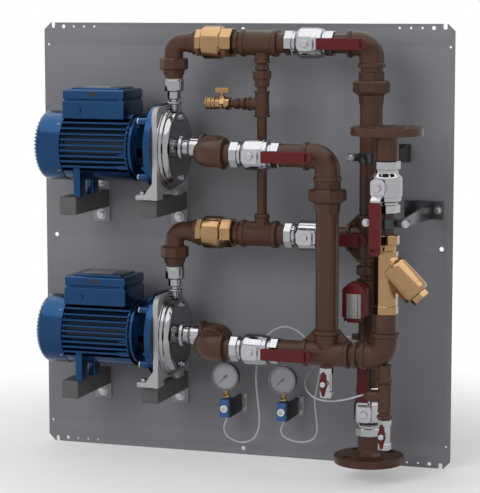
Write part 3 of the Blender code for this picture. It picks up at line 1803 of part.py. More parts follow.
def wing_handle():
    ball = small_ball_radius
    stem = put(
        turned(
            [
                (-ball, ball / 2 - stem_gap),
                (-ball / 2, ball - stem_gap),
                (ball / 2, ball - stem_gap),
                (ball, small_stem_radius),
                (wing_reach + wing_thickness / 2, small_stem_radius),
            ],
            small_steps,
        ),
        axis="-Y",
    )
    half = wing_height / 2
    waist = wing_nut_radius + face_step
    length = wing_length / 2
    outline = arc_points((0, length - half), half, 0, 180, 4)
    outline += [(-waist, waist), (-waist, -waist)]
    outline += arc_points((0, half - length), half, 180, 360, 4)
    outline += [(waist, -waist), (waist, waist)]
    wing = put(sheet(outline, wing_thickness), (0, -wing_reach - wing_thickness / 2, 0), "-Y")
    nut = polygon_bar(wing_nut_radius, wing_reach, wing_reach + wing_thickness + wing_nut_length)
    return unite([stem, wing, put(nut, axis="-Y")])


def make_small_valve(name, x, top_z):
    centre = (x, suction_y, top_z - seat_gap - small_valve_length / 2)
    finish(put(small_valve_body(), centre), name, "chrome")
    finish(put(wing_handle(), centre), name + "_handle", "red_sleeve", centre)


# Pipe clamps: a band round the pipe, two ears, and a strap to a foot on the plate
def make_clamp(name, centre, pipe, strap_reach, foot_span):
    x, y, z = centre
    inner = (pipe + seat_gap) / math.cos(math.pi / pipe_steps)
    outer = inner + clamp_thickness
    half = clamp_height / 2
    band = put(tube(inner, outer, -half, half), centre)
    ears = []
    for side in (-1, 1):
        near = x + side * (inner + clamp_thickness / 3)
        far = x + side * clamp_ear_reach
        ears.append(
            block(
                (min(near, far), y - clamp_ear_thickness / 2, z - half + overrun),
                (max(near, far), y + clamp_ear_thickness / 2, z + half - overrun),
            )
        )
    wall = -plate_thickness - seat_gap
    root = wall - clamp_strap_thickness / 2
    foot_half = clamp_foot_height / 2
    end = half - overrun - face_step
    outline = [(y, -end), (root, face_step - foot_half), (root, foot_half - face_step), (y, end)]
    strap = sheet(outline, clamp_strap_thickness)
    strap.data.transform(Matrix.Rotation(math.radians(90), 4, "Z"))
    put(strap, (x + strap_reach, 0, z), "X")
    foot = block(
        (x + foot_span[0], wall - clamp_strap_thickness, z - foot_half),
        (x + foot_span[1], wall, z + foot_half),
    )
    finish(unite([band, *ears, strap, foot]), name, "dark_steel")


# Pressure gauges
def make_gauge(order):
    x = gauge_places[order]
    back = -gauge_back_y
    front = -gauge_front_y
    case = turned(
        [
            (back, gauge_radius - gauge_bezel),
            (front - gauge_recess - gauge_bezel, gauge_radius - gauge_bezel),
            (front - gauge_recess - gauge_bezel, gauge_radius),
            (front, gauge_radius),
            (front, gauge_radius - gauge_bezel),
            (front - gauge_recess, gauge_radius - gauge_bezel),
        ],
        case_steps,
    )
    put(case, (x, 0, gauge_z), "-Y")
    stem_y = -(back + front) / 2
    stem = rod(gauge_stem_radius, -gauge_stem_length, 0, small_steps)
    put(stem, (x, stem_y, gauge_z))
    finish(unite([case, stem]), order + "_gauge", "dial_grey")
    dial_y = gauge_front_y + gauge_recess - seat_gap
    hub = put(rod(needle_hub_radius, 0, needle_hub_length, 8), axis="-Y")
    bar = block(
        (-needle_tail, -needle_thickness - needle_hub_length / 3, -needle_width / 2),
        (needle_length, -needle_hub_length / 3, needle_width / 2),
    )
    needle = turn_about(unite([hub, bar]), (0, 0, 0), "Y", -needle_rest_angle)
    centre = (x, dial_y, gauge_z)
    finish(put(needle, centre), order + "_gauge_needle", "dark_steel", centre)


# Pressure switches on their brackets, each with the fitting that carries its gauge
def make_switch(order):
    x = gauge_places[order]
    y = switch_centre_y
    half = switch_width / 2
    near = y - switch_depth / 2
    far = y + switch_depth / 2
    case = block((x - half, near, switch_bottom_z), (x + half, far, switch_top_z), switch_rounding, 1)
    fitting = polygon_bar(switch_fitting_radius, -overrun, switch_fitting_length)
    put(fitting, (x, y, switch_top_z))
    middle = (switch_top_z + switch_bottom_z) / 2
    knob = put(
        rod(switch_knob_radius, -overrun, switch_knob_length, small_steps), (x, near, middle), "-Y"
    )
    spout = rod(tube_socket_radius, -tube_socket_length, overrun, small_steps)
    put(spout, (x, y, switch_bottom_z))
    wall = -plate_thickness - seat_gap
    side = x + bracket_offset_x
    arm = block(
        (x + half - overrun, y - bracket_thickness / 2, middle - bracket_height / 2),
        (side, y + bracket_thickness / 2, middle + bracket_height / 2),
    )
    strap = block(
        (side - bracket_thickness, y - bracket_thickness / 2, middle - bracket_height / 2),
        (side, wall - bracket_thickness / 2, middle + bracket_height / 2),
    )
    foot = block(
        (side - bracket_foot_length, wall - bracket_thickness, middle - bracket_height / 2),
        (side + seat_gap, wall, middle + bracket_height / 2),
    )
    body = unite([case, fitting, knob, spout, arm, strap, foot])
    finish(body, order + "_pressure_switch", "switch_blue")


# Impulse tubes from the switches to the suction tail and to the riser
def smooth_route(points, count):
    """Evenly spaced points on a Catmull-Rom curve through the route's own points."""
    places = [Vector(point) for point in points]
    places = [places[0] * 2 - places[1]] + places + [places[-1] * 2 - places[-2]]
    fine = []
    spans = len(places) - 3
    for span in range(spans):
        a, b, c, d = places[span : span + 4]
        for step in range(route_parts):
            t = step / route_parts
            along = b * 2 + (c - a) * t + (a * 2 - b * 5 + c * 4 - d) * t * t
            fine.append((along + (b * 3 - a - c * 3 + d) * t * t * t) / 2)
    fine.append(places[-2])
    lengths = [0]
    for first, second in zip(fine, fine[1:]):
        lengths.append(lengths[-1] + (second - first).length)
    route = []
    index = 0
    for step in range(count):
        target = lengths[-1] * step / (count - 1)
        while index < len(lengths) - 2 and lengths[index + 1] < target:
            index += 1
        span = lengths[index + 1] - lengths[index]
        share = (target - lengths[index]) / span
        route.append(fine[index].lerp(fine[index + 1], share))
    return route


first_tube_route = [
    (-22 * mm, -73 * mm, -411 * mm),
    (-20 * mm, -70 * mm, -429 * mm),
    (-5 * mm, -66 * mm, -443 * mm),
    (18 * mm, -60 * mm, -449 * mm),
    (40 * mm, -54 * mm, -441 * mm),
    (50 * mm, -50 * mm, -423 * mm),
    (53 * mm, -46 * mm, -396 * mm),
    (48 * mm, -42 * mm, -358 * mm),
    (43.5 * mm, -40 * mm, -323 * mm),
    (43.5 * mm, -40 * mm, -280 * mm),
    (52 * mm, -40 * mm, -235 * mm),
    (77 * mm, -42 * mm, -198 * mm),
    (112 * mm, -48 * mm, -182 * mm),
    (142 * mm, -55 * mm, -188 * mm),
    (164 * mm, -66 * mm, -200 * mm),
    (187 * mm, -85 * mm, -215 * mm),
    (205 * mm, -110 * mm, -232 * mm),
    (209 * mm, -137 * mm, -251 * mm),
    (204 * mm, -167 * mm, -261 * mm),
    (206 * mm, -200 * mm, -273 * mm),
    (218 * mm, -228 * mm, -286 * mm),
    (239 * mm, -247 * mm, -296 * mm),
    (263 * mm, -259 * mm, -299 * mm),
    (288 * mm, -268 * mm, -297 * mm),
    (318 * mm, -278 * mm, -290 * mm),
    (338 * mm, -283 * mm, -283 * mm),
]

second_tube_route = [
    (112 * mm, -73 * mm, -410 * mm),
    (116 * mm, -72 * mm, -424 * mm),
    (134 * mm, -70 * mm, -434 * mm),
    (160 * mm, -68 * mm, -437 * mm),
    (181 * mm, -68 * mm, -431 * mm),
    (193 * mm, -70 * mm, -417 * mm),
    (196 * mm, -73 * mm, -398 * mm),
    (194 * mm, -78 * mm, -365 * mm),
    (194 * mm, -85 * mm, -335 * mm),
    (202 * mm, -94 * mm, -304 * mm),
    (213 * mm, -107 * mm, -262 * mm),
    (226 * mm, -121 * mm, -230 * mm),
    (244 * mm, -136 * mm, -203 * mm),
    (266 * mm, -147 * mm, -184 * mm),
]


def make_tube(name, route, start, end):
    """A tube that leaves its start downward and comes to its end along +X."""
    start = Vector(start)
    end = Vector(end)
    first = start - Vector((0, 0, tube_lead))
    last = end - Vector((tube_lead, 0, 0))
    places = smooth_route([first, *route, last], tube_points)
    wire = bent_rod([start, *places, end], tube_radius, 2)
    finish(wire, name, "tube_grey")


def make_tubes():
    spout_end = switch_bottom_z - tube_socket_length - seat_gap
    starts = {order: (gauge_places[order], switch_centre_y, spout_end) for order in gauge_places}
    sample_x = inlet_x - sample_branch_reach - seat_gap
    sample = (sample_x, suction_y, manifold_z - sample_tee_drop)
    make_tube("first_tube", first_tube_route, starts["first"], sample)
    riser_end = (riser_x - pipe_radius - tube_boss_length - seat_gap, pump_axis_y, tube_boss_z)
    make_tube("second_tube", second_tube_route, starts["second"], riser_end)


def make_pump(level):
    make_housing(level)
    make_cowl(level)
    make_lantern(level)
    make_foot_plate(level)
    make_casing(level)
    make_rotor(level)


def make_line(level):
    axis_z = pump_levels[level]
    line_z = axis_z + discharge_rise
    make_discharge_bend(level)
    make_check_valve(level)
    make_suction_offset(level)
    discharge = (discharge_valve_x, pump_axis_y, line_z)
    suction = (suction_valve_x, suction_y, axis_z)
    make_valve(level + "_discharge_valve", discharge, 0)
    make_lever(level + "_discharge_lever", discharge, 0)
    make_valve(level + "_suction_valve", suction, 0)
    make_lever(level + "_suction_lever", suction, 0)


make_plate()
for level_name in pump_levels:
    for side_name in arm_places:
        make_arm(level_name, side_name)
    make_pump(level_name)
    make_line(level_name)
make_link_pipe()
make_drain_cock()
make_riser()
make_flow_switch()
make_valve("outlet_valve", (riser_x, pump_axis_y, outlet_valve_z), -90)
make_lever("outlet_lever", (riser_x, pump_axis_y, outlet_valve_z), -90)
make_flange("outlet_flange", riser_x, pump_axis_y, outlet_flange_bottom, outlet_valve_bottom - seat_gap)
make_manifold()
make_strainer()
make_valve("inlet_valve", (inlet_x, suction_y, inlet_valve_z), 90, inlet_valve_turn)
make_lever("inlet_lever", (inlet_x, suction_y, inlet_valve_z), 90, inlet_valve_turn)
make_flange("inlet_flange", inlet_x, suction_y, inlet_flange_top, inlet_valve_top + seat_gap)
make_small_valve("right_small_valve", inlet_x, sample_end_z)
make_small_valve("left_small_valve", drop_x, manifold_z - elbow_radius - left_boss_length)
riser_clamp_centre = (riser_x, pump_axis_y, riser_clamp_z)
make_clamp("riser_clamp", riser_clamp_centre, pipe_radius, riser_strap_reach, riser_foot_span)
inlet_clamp_centre = (inlet_x, suction_y, inlet_clamp_z)
make_clamp("inlet_clamp", inlet_clamp_centre, clamp_nipple_radius, inlet_strap_reach, inlet_foot_span)
for gauge_name in gauge_places:
    make_gauge(gauge_name)
    make_switch(gauge_name)
make_tubes()
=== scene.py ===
import math

import bmesh
import bpy
from mathutils import Matrix, Vector


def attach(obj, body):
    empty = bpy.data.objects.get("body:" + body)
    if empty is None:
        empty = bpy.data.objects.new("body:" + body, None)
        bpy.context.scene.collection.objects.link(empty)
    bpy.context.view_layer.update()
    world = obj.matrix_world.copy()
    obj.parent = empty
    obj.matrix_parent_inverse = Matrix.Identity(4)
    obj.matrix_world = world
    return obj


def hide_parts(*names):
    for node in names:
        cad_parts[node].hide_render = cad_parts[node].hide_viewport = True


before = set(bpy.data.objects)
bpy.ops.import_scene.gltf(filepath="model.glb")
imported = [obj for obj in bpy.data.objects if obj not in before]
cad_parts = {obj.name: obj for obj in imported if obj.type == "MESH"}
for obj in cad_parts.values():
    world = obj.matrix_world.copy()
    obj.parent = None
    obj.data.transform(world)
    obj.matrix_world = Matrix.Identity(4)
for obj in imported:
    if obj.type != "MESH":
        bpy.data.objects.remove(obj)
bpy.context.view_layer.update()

# Shapes are written in millimetres and made in metres
mm = 0.001
fixed_body = "set_frame"
crease_angle = math.radians(32)

# The view of the photograph
photo_height = 493
focal_pixels = 2016.84
camera_place = (1423.8, -4292.4, 551.3)
camera_yaw = 18.452
camera_pitch = 7.098
camera_roll = 0.043

# Heights of the two pumps, and how far their discharge lines stand above them
levels = {"upper": 220, "lower": -193}
line_rise = 230
# Depths of the discharge side, of the suction side and of the seats, a gap in front of the plate
axis_y = -150
suction_y = -285
wall_y = -3.3
# Upright lines, from left to right
discharge_x = -110
link_x = 92
drop_x = 278
riser_x = 335
inlet_x = 404
# The thin branch with the drain cock
branch_z = 319
# Radii of the 1 1/2 inch pipe and of its nipples
pipe = 24.15
nipple = 21.5

turns = {
    "X": Matrix.Rotation(math.radians(90), 4, "Y"),
    "-X": Matrix.Rotation(math.radians(-90), 4, "Y"),
    "-Y": Matrix.Rotation(math.radians(90), 4, "X"),
    "Y": Matrix.Rotation(math.radians(-90), 4, "X"),
    "Z": Matrix.Identity(4),
    "-Z": Matrix.Rotation(math.radians(180), 4, "X"),
}
ways = {"X": (1, 0, 0), "-X": (-1, 0, 0), "Y": (0, 1, 0), "-Y": (0, -1, 0), "Z": (0, 0, 1), "-Z": (0, 0, -1)}


def photo_camera():
    """The camera at the photograph's viewing angle, with the plate's holes where the photograph has them."""
    data = bpy.data.cameras.new("photo_camera")
    data.sensor_fit = "VERTICAL"
    data.sensor_height = 36
    data.lens = data.sensor_height * focal_pixels / photo_height
    data.clip_end = 60
    camera = bpy.data.objects.new("photo_camera", data)
    aim = Matrix.Rotation(math.radians(camera_yaw), 4, "Z")
    aim = aim @ Matrix.Rotation(math.radians(90 - camera_pitch), 4, "X")
    aim = aim @ Matrix.Rotation(math.radians(-camera_roll), 4, "Z")
    camera.matrix_world = Matrix.Translation(Vector(camera_place) * mm) @ aim
    bpy.context.scene.collection.objects.link(camera)
    bpy.context.scene.camera = camera


photo_camera()


# Shells: lists of corners and faces in millimetres
def drained(shape):
    """The corners and faces of a bmesh, which is freed."""
    shape.verts.index_update()
    corners = [vert.co.copy() for vert in shape.verts]
    faces = [tuple(vert.index for vert in face.verts) for face in shape.faces]
    shape.free()
    return corners, faces


def from_object(thing):
    """The corners and faces of an object with its modifiers, which is removed."""
    graph = bpy.context.evaluated_depsgraph_get()
    mesh = bpy.data.meshes.new_from_object(thing.evaluated_get(graph), depsgraph=graph)
    shape = bmesh.new()
    shape.from_mesh(mesh)
    bmesh.ops.remove_doubles(shape, verts=shape.verts, dist=0.0001)
    bpy.data.objects.remove(thing, do_unlink=True)
    bpy.data.meshes.remove(mesh)
    return drained(shape)


def put(shell, origin=(0, 0, 0), axis="Z", spin=0):
    """A shell made along +Z, turned to the axis and carried to the origin."""
    move = Matrix.Translation(Vector(origin)) @ turns[axis] @ Matrix.Rotation(math.radians(spin), 4, "Z")
    return [move @ corner for corner in shell[0]], shell[1]


def placed(origin, axis, *shells):
    """Several shells put at one place along one axis."""
    return [put(shell, origin, axis) for shell in shells]


def swung(shell, axis, degrees):
    """A shell turned about one of the main axes."""
    move = Matrix.Rotation(math.radians(degrees), 4, axis)
    return [move @ corner for corner in shell[0]], shell[1]


def edgewise(sheet):
    """A sheet from XY stood up so that its outline lies in YZ and its thickness along X."""
    return [Vector((corner.z, corner.x, corner.y)) for corner in sheet[0]], sheet[1]


def around(radius, degrees, centre=(0, 0)):
    """The point of a circle at an angle."""
    angle = math.radians(degrees)
    return centre[0] + radius * math.cos(angle), centre[1] + radius * math.sin(angle)


def ring_points(radius, steps=32, centre=(0, 0)):
    return [around(radius, 360 * index / steps, centre) for index in range(steps)]


def arc(centre, radius, first, last, steps=8):
    return [around(radius, first + (last - first) * index / steps, centre) for index in range(steps + 1)]


def eased(line, edge, closed=False):
    """A profile whose corners are rounded off by the edge given."""
    parts = 3
    points = []
    last = len(line) - 1
    for index, point in enumerate(line):
        here = Vector(point)
        back = Vector(line[index - 1]) - here
        onward = Vector(line[(index + 1) % len(line)]) - here
        if not edge or (not closed and index in (0, last)) or min(back.length, onward.length) < 0.05:
            points.append(tuple(here))
            continue
        reach = min(edge, back.length * 0.45, onward.length * 0.45)
        first = here + back.normalized() * reach
        second = here + onward.normalized() * reach
        for part in range(parts + 1):
            share = part / parts
            spot = first * (1 - share) ** 2 + here * 2 * share * (1 - share) + second * share**2
            points.append(tuple(spot))
    return points


def lathe(profile, steps=56, ring=False, edge=1.0):
    """A turned shell about Z. The profile is (height, radius) from the bottom up."""
    if not ring:
        profile = [(profile[0][0], 0)] + list(profile) + [(profile[-1][0], 0)]
    corners = []
    rows = []
    for height, radius in eased(profile, edge, ring):
        if radius < 0.001:
            rows.append([len(corners)] * steps)
            corners.append(Vector((0, 0, height)))
            continue
        rows.append([len(corners) + index for index in range(steps)])
        for index in range(steps):
            angle = math.tau * index / steps
            corners.append(Vector((radius * math.cos(angle), radius * math.sin(angle), height)))
    faces = []
    pairs = list(zip(rows, rows[1:]))
    if ring:
        pairs.append((rows[-1], rows[0]))
    for low, high in pairs:
        for index in range(steps):
            other = (index + 1) % steps
            loop = (low[index], low[other], high[other], high[index])
            faces.append(tuple(dict.fromkeys(loop)))
    return corners, faces


def rod(radius, start, end, steps=56, edge=1.0):
    return lathe([(start, radius), (end, radius)], steps, edge=edge)


def nut(radius, start, end, sides=6, chamfer=1.5):
    """A nut or bar with flats, whose corners are turned off at both ends."""
    shoulder = (end - start) * 0.14 if end - start < 12 else chamfer
    profile = [(start, radius - chamfer), (start + shoulder, radius)]
    profile += [(end - shoulder, radius), (end, radius - chamfer)]
    return put(lathe(profile, sides, edge=0), spin=180 / sides)


def swept(path, radius, sides=40):
    """A round bar along a path, closed at both ends."""
    path = [Vector(point) for point in path]
    last = len(path) - 1
    side = (path[1] - path[0]).orthogonal().normalized()
    corners = []
    for index, point in enumerate(path):
        along = (path[min(index + 1, last)] - path[max(index - 1, 0)]).normalized()
        side = (side - along * side.dot(along)).normalized()
        across = along.cross(side)
        for step in range(sides):
            angle = math.tau * step / sides
            corners.append(point + (side * math.cos(angle) + across * math.sin(angle)) * radius)
    faces = [tuple(range(sides))[::-1], tuple(last * sides + step for step in range(sides))]
    for row in range(last):
        low = row * sides
        high = low + sides
        for step in range(sides):
            other = (step + 1) % sides
            faces.append((low + step, low + other, high + other, high + step))
    return corners, faces


def block(low, high, edge=1.5, parts=3):
    """A box between two corners, with its edges rounded."""
    low = Vector(low)
    high = Vector(high)
    shape = bmesh.new()
    bmesh.ops.create_cube(shape, size=1)
    move = Matrix.Translation((low + high) / 2) @ Matrix.Diagonal((*(high - low), 1))
    bmesh.ops.transform(shape, matrix=move, verts=shape.verts)
    if edge:
        edges = list(shape.edges)
        bmesh.ops.bevel(shape, geom=edges, offset=edge, segments=parts, affect="EDGES", profile=0.5)
    return drained(shape)


def cut_sheet(outline, thickness, holes=(), edge=0.5):
    """A flat outline in XY with its holes, centred on its thickness, with its edges broken."""
    curve = bpy.data.curves.new("outline", "CURVE")
    curve.dimensions = "2D"
    curve.fill_mode = "BOTH"
    curve.extrude = thickness / 2 - edge
    curve.bevel_depth = edge
    curve.bevel_resolution = 2
    curve.offset = -edge
    for points in [outline, *[hole[::-1] for hole in holes]]:
        spline = curve.splines.new("POLY")
        spline.points.add(len(points) - 1)
        for point, spot in zip(spline.points, points):
            point.co = (spot[0], spot[1], 0, 1)
        spline.use_cyclic_u = True
    thing = bpy.data.objects.new("outline", curve)
    bpy.context.scene.collection.objects.link(thing)
    return from_object(thing)


def mesh_object(name, shells, scale=1.0):
    """One mesh object of several shells, each with its faces turned outwards."""
    shape = bmesh.new()
    for corners, faces in shells:
        verts = [shape.verts.new(corner * scale) for corner in corners]
        for face in faces:
            if len(face) > 2:
                shape.faces.new([verts[index] for index in face])
    bmesh.ops.recalc_face_normals(shape, faces=shape.faces)
    mesh = bpy.data.meshes.new(name)
    shape.to_mesh(mesh)
    shape.free()
    thing = bpy.data.objects.new(name, mesh)
    bpy.context.scene.collection.objects.link(thing)
    return thing


def carved(shell, cutters):
    """A shell with the cutters' spaces taken out of it."""
    thing = mesh_object("stock", [shell])
    tool = mesh_object("cutter", cutters)
    take = thing.modifiers.new("take", "BOOLEAN")
    take.operation = "DIFFERENCE"
    take.solver = "EXACT"
    take.use_self = True
    take.object = tool
    result = from_object(thing)
    bpy.data.objects.remove(tool, do_unlink=True)
    return result


def finished(piece, body=fixed_body, stands_for=()):
    piece.data.shade_smooth()
    piece.data.set_sharp_from_angle(angle=crease_angle)
    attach(piece, body)
    if stands_for:
        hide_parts(*stands_for)
    return piece


def make(name, shells, finish, body=fixed_body, stands_for=()):
    """A finished piece of several shells."""
    piece = mesh_object(name, shells, mm)
    piece.data.materials.append(finish)
    return finished(piece, body, stands_for)


# Node trees
def add(tree, kind, values=None, links=None, **settings):
    """Adds a node to a tree with its settings, its values and its links."""
    item = tree.nodes.new(kind)
    for key, value in settings.items():
        setattr(item, key, value)
    for socket, value in (values or {}).items():
        item.inputs[socket].default_value = value
    for socket, source in (links or {}).items():
        tree.links.new(source, item.inputs[socket])
    return item


def figure(tree, operation, first, second=0.0):
    """The result of a sum on sockets or plain numbers."""
    item = add(tree, "ShaderNodeMath", operation=operation)
    for index, source in enumerate((first, second)):
        if isinstance(source, bpy.types.NodeSocket):
            tree.links.new(source, item.inputs[index])
        else:
            item.inputs[index].default_value = source
    return item.outputs[0]


def ranged(tree, source, values, **settings):
    """A value carried from one range to another."""
    return add(tree, "ShaderNodeMapRange", values, {"Value": source}, **settings).outputs[0]


def mixed(tree, share, first, second):
    """A colour between a first and a second one, of which the first may be a socket."""
    item = add(tree, "ShaderNodeMix", {7: second}, {0: share}, data_type="RGBA")
    if isinstance(first, bpy.types.NodeSocket):
        tree.links.new(first, item.inputs[6])
    else:
        item.inputs[6].default_value = first
    return item.outputs[2]


def noise(tree, spot, scale, detail=2):
    return add(tree, "ShaderNodeTexNoise", {"Scale": scale, "Detail": detail}, {"Vector": spot}).outputs[0]


def linear(code):
    """An sRGB hex colour as linear values."""
    values = [int(code[index : index + 2], 16) / 255 for index in (1, 3, 5)]
    return tuple(v / 12.92 if v <= 0.04045 else ((v + 0.055) / 1.055) ** 2.4 for v in values) + (1,)


def new_material(name):
    """A material with its tree, its shader and its object coordinates."""
    material = bpy.data.materials.new(name)
    material.use_nodes = True
    tree = material.node_tree
    return material, tree, tree.nodes["Principled BSDF"], add(tree, "ShaderNodeTexCoord").outputs["Object"]


def surface(
    name, tone, shade, roughness, metallic=0.0, patch=60, grain=1.5, depth=0.04, spread=0.05, specular=0.5
):
    """A finish that drifts between two tones over its patches, with a grain in its gloss and relief."""
    material, tree, shader, spot = new_material(name)
    tones = mixed(tree, noise(tree, spot, 1 / (patch * mm), 3), linear(shade), linear(tone))
    fine = noise(tree, spot, 1 / (grain * mm))
    gloss = ranged(tree, fine, {"To Min": roughness - spread, "To Max": roughness + spread})
    relief = add(tree, "ShaderNodeBump", {"Strength": 0.35, "Distance": depth * mm}, {"Height": fine})
    tree.links.new(tones, shader.inputs["Base Color"])
    tree.links.new(gloss, shader.inputs["Roughness"])
    tree.links.new(relief.outputs[0], shader.inputs["Normal"])
    shader.inputs["Metallic"].default_value = metallic
    shader.inputs["Specular IOR Level"].default_value = specular
    return material


# Powder coat on sheet steel: an even grey with a faint orange peel
powder_coat = surface("grey_powder_coat", "#6A6B6F", "#636468", 0.5, patch=180, grain=2.5, depth=0.05)
# Black steel tube, painted matt, that takes little light
arm_paint = surface("matt_black_arm_paint", "#4A4A4A", "#414141", 0.62, patch=50, grain=1.2, depth=0.06)
# Plates of the arms, painted like the mounting plate but a little paler
base_paint = surface("pale_grey_base_paint", "#7D7E82", "#75767A", 0.45, patch=30, grain=1.6, depth=0.04)
# Motor enamel with fine aluminium flakes, sprayed on castings: its highlights stay blue
motor_enamel = surface("blue_flake_enamel", "#20436A", "#1B3A5E", 0.2, 0.85, 40, 2.5, 0.02, 0.03)
# The barrel between the fins, painted much darker than the enamel: painted shade in the gaps between the fins
fin_shade_enamel = surface("blue_enamel_painted_fin_shade", "#0E1C2C", "#0A1521", 0.5, patch=25, grain=1.4, depth=0.06)
# Cast aluminium, sand cast and left bare: pale, a little rough
cast_aluminium = surface("sand_cast_aluminium", "#9A999B", "#8A898B", 0.42, 0.3, 30, 1.4, 0.10)
# Stainless steel, deep drawn and polished: nearly a mirror
polished_stainless = surface("polished_stainless", "#9E9EA1", "#939396", 0.12, 1.0, 60, 3.0, 0.01, 0.03)
# Black iron pipe and fittings under brown lacquer: soft gloss with a cast skin
brown_lacquer = surface("brown_pipe_lacquer", "#422B1F", "#372419", 0.3, 0.0, 60, 2.0, 0.03, specular=0.22)
# Turned brass with a bright skin
satin_brass = surface("satin_brass", "#A38461", "#937554", 0.14, 1.0, 35, 1.6, 0.015, 0.04)
# Bright chrome on forged brass
bright_chrome = surface("bright_chrome", "#A8A8AB", "#9E9EA1", 0.08, 1.0, 50, 3.0, 0.01, 0.03)
# Zinc plated steel of levers, bolts and nuts
zinc_steel = surface("zinc_plated_steel", "#BCBCBF", "#ACACB0", 0.34, 1.0, 14, 1.2, 0.02, 0.06)
# Dipped vinyl of the lever sleeves: dark red, softly dull
red_vinyl = surface("red_dipped_vinyl", "#4E1417", "#431013", 0.42, 0.0, 30, 1.0, 0.05, specular=0.2)
# Red painted die-cast box
red_enamel = surface("red_box_enamel", "#5C1719", "#501315", 0.36, 0.0, 30, 1.5, 0.05, specular=0.2)
# Black oxide on steel
black_steel = surface("black_oxide_steel", "#46474B", "#393A3E", 0.26, 0.9, 20, 1.2, 0.03)
# Dark nickel on the rings round the gauges
dark_nickel = surface("dark_nickel", "#77777B", "#69696E", 0.25, 1.0, 20, 1.4, 0.02)
# Moulded black and blue ABS of the switches
black_abs = surface("black_moulded_abs", "#17181D", "#101116", 0.5, 0.0, 15, 0.9, 0.05)
blue_abs = surface("blue_moulded_abs", "#214C80", "#1B4273", 0.38, 0.0, 15, 0.9, 0.04)
pale_abs = surface("pale_moulded_abs", "#CFCFCC", "#C2C2BF", 0.45, 0.0, 10, 0.9, 0.04)
# Aluminium dial sheet under a grey print
dial_sheet = surface("grey_dial_sheet", "#858589", "#6F6F74", 0.5, 0.1, 3, 1.0, 0.02)
# Grey polyamide tube
grey_tube = surface("grey_polyamide_tube", "#A2A2A4", "#969698", 0.35, 0.0, 25, 1.0, 0.02)
# Turned steel of the rotor
rotor_steel = surface("turned_rotor_steel", "#6F7074", "#5A5B60", 0.38, 0.8, 20, 1.2, 0.03)
# Bare aluminium plates without writing
bare_plate = surface("bare_aluminium_plate", "#8E8C8C", "#7F7D7E", 0.4, 0.4, 12, 1.0, 0.03)


def clear_glass():
    """Float glass of the gauges: a thin gloss that hides nothing behind it."""
    material, tree, shader, spot = new_material("gauge_glass")
    gloss = ranged(tree, noise(tree, spot, 90), {"To Min": 0.04, "To Max": 0.09})
    tree.links.new(gloss, shader.inputs["Roughness"])
    shader.inputs["Base Color"].default_value = linear("#EDEFF2")
    shader.inputs["IOR"].default_value = 1.5
    shader.inputs["Alpha"].default_value = 0.06
    return material


gauge_glass = clear_glass()


# Geometry trees
def geometry_tree(name, inputs):
    """An empty geometry tree with named inputs. It gives the tree and the sockets of what it is given."""
    tree = bpy.data.node_groups.new(name, "GeometryNodeTree")
    for label, kind in {"Geometry": "Geometry", **inputs}.items():
        tree.interface.new_socket(label, in_out="INPUT", socket_type="NodeSocket" + kind)
    tree.interface.new_socket("Geometry", in_out="OUTPUT", socket_type="NodeSocketGeometry")
    return tree, tree.nodes.new("NodeGroupInput").outputs


def spread_out(tree, given, shape, **more):
    """Puts a shape at every point and ends the tree in real geometry with its material."""
    links = {"Points": given["Geometry"], "Instance": shape, **more}
    field = add(tree, "GeometryNodeInstanceOnPoints", links=links)
    real = add(tree, "GeometryNodeRealizeInstances", links={"Geometry": field.outputs[0]})
    coat = add(tree, "GeometryNodeSetMaterial", links={"Geometry": real.outputs[0]})
    tree.links.new(coat.outputs[0], tree.nodes.new("NodeGroupOutput").inputs[0])
    return tree


def grown(name, tree, spots, inputs, finish):
    """The piece that a tree grows on a set of points, as a plain mesh."""
    mesh = bpy.data.meshes.new(name)
    mesh.from_pydata([Vector(spot) * mm for spot in spots], [], [])
    host = bpy.data.objects.new(name, mesh)
    bpy.context.scene.collection.objects.link(host)
    tree = tree.copy()
    for item in tree.nodes:
        if item.bl_idname == "GeometryNodeSetMaterial":
            item.inputs["Material"].default_value = finish
    growth = host.modifiers.new("growth", "NODES")
    growth.node_group = tree
    for socket in tree.interface.items_tree:
        if socket.in_out == "INPUT" and socket.name in inputs:
            growth[socket.identifier] = inputs[socket.name]
    graph = bpy.context.evaluated_depsgraph_get()
    result = bpy.data.meshes.new_from_object(host.evaluated_get(graph), depsgraph=graph)
    host.modifiers.clear()
    host.data = result
    result.name = name
    if not result.materials:
        result.materials.append(finish)
    return finished(host)


def bolt_tree():
    """A hexagon bolt head on its washer, at every point, turned as asked."""
    sizes = dict.fromkeys(("Head radius", "Head height", "Washer radius", "Washer height"), "Float")
    tree, given = geometry_tree("bolt_heads", {**sizes, "Turn": "Rotation"})
    radius, height, rim, seat = (given[label] for label in sizes)
    washer = add(tree, "GeometryNodeMeshCylinder", {"Vertices": 28}, {"Radius": rim, "Depth": seat})
    head = add(tree, "GeometryNodeMeshCylinder", {"Vertices": 6}, {"Radius": radius, "Depth": height})
    low, top = (figure(tree, "MULTIPLY", radius, share) for share in (0.84, 0.66))
    cone = {"Vertices": 24, "Depth": 0.6 * mm}
    crown = add(tree, "GeometryNodeMeshCone", cone, {"Radius Bottom": low, "Radius Top": top})
    heights = [
        figure(tree, "MULTIPLY", seat, 0.5),
        figure(tree, "ADD", seat, figure(tree, "MULTIPLY", height, 0.5)),
        figure(tree, "ADD", seat, height),
    ]
    bolt = add(tree, "GeometryNodeJoinGeometry")
    for shape, rise in zip((washer, head, crown), heights):
        lift = add(tree, "ShaderNodeCombineXYZ", links={"Z": rise})
        links = {"Geometry": shape.outputs[0], "Translation": lift.outputs[0]}
        lifted = add(tree, "GeometryNodeTransform", links=links)
        tree.links.new(lifted.outputs[0], bolt.inputs[0])
    return spread_out(tree, given, bolt.outputs[0], Rotation=given["Turn"])


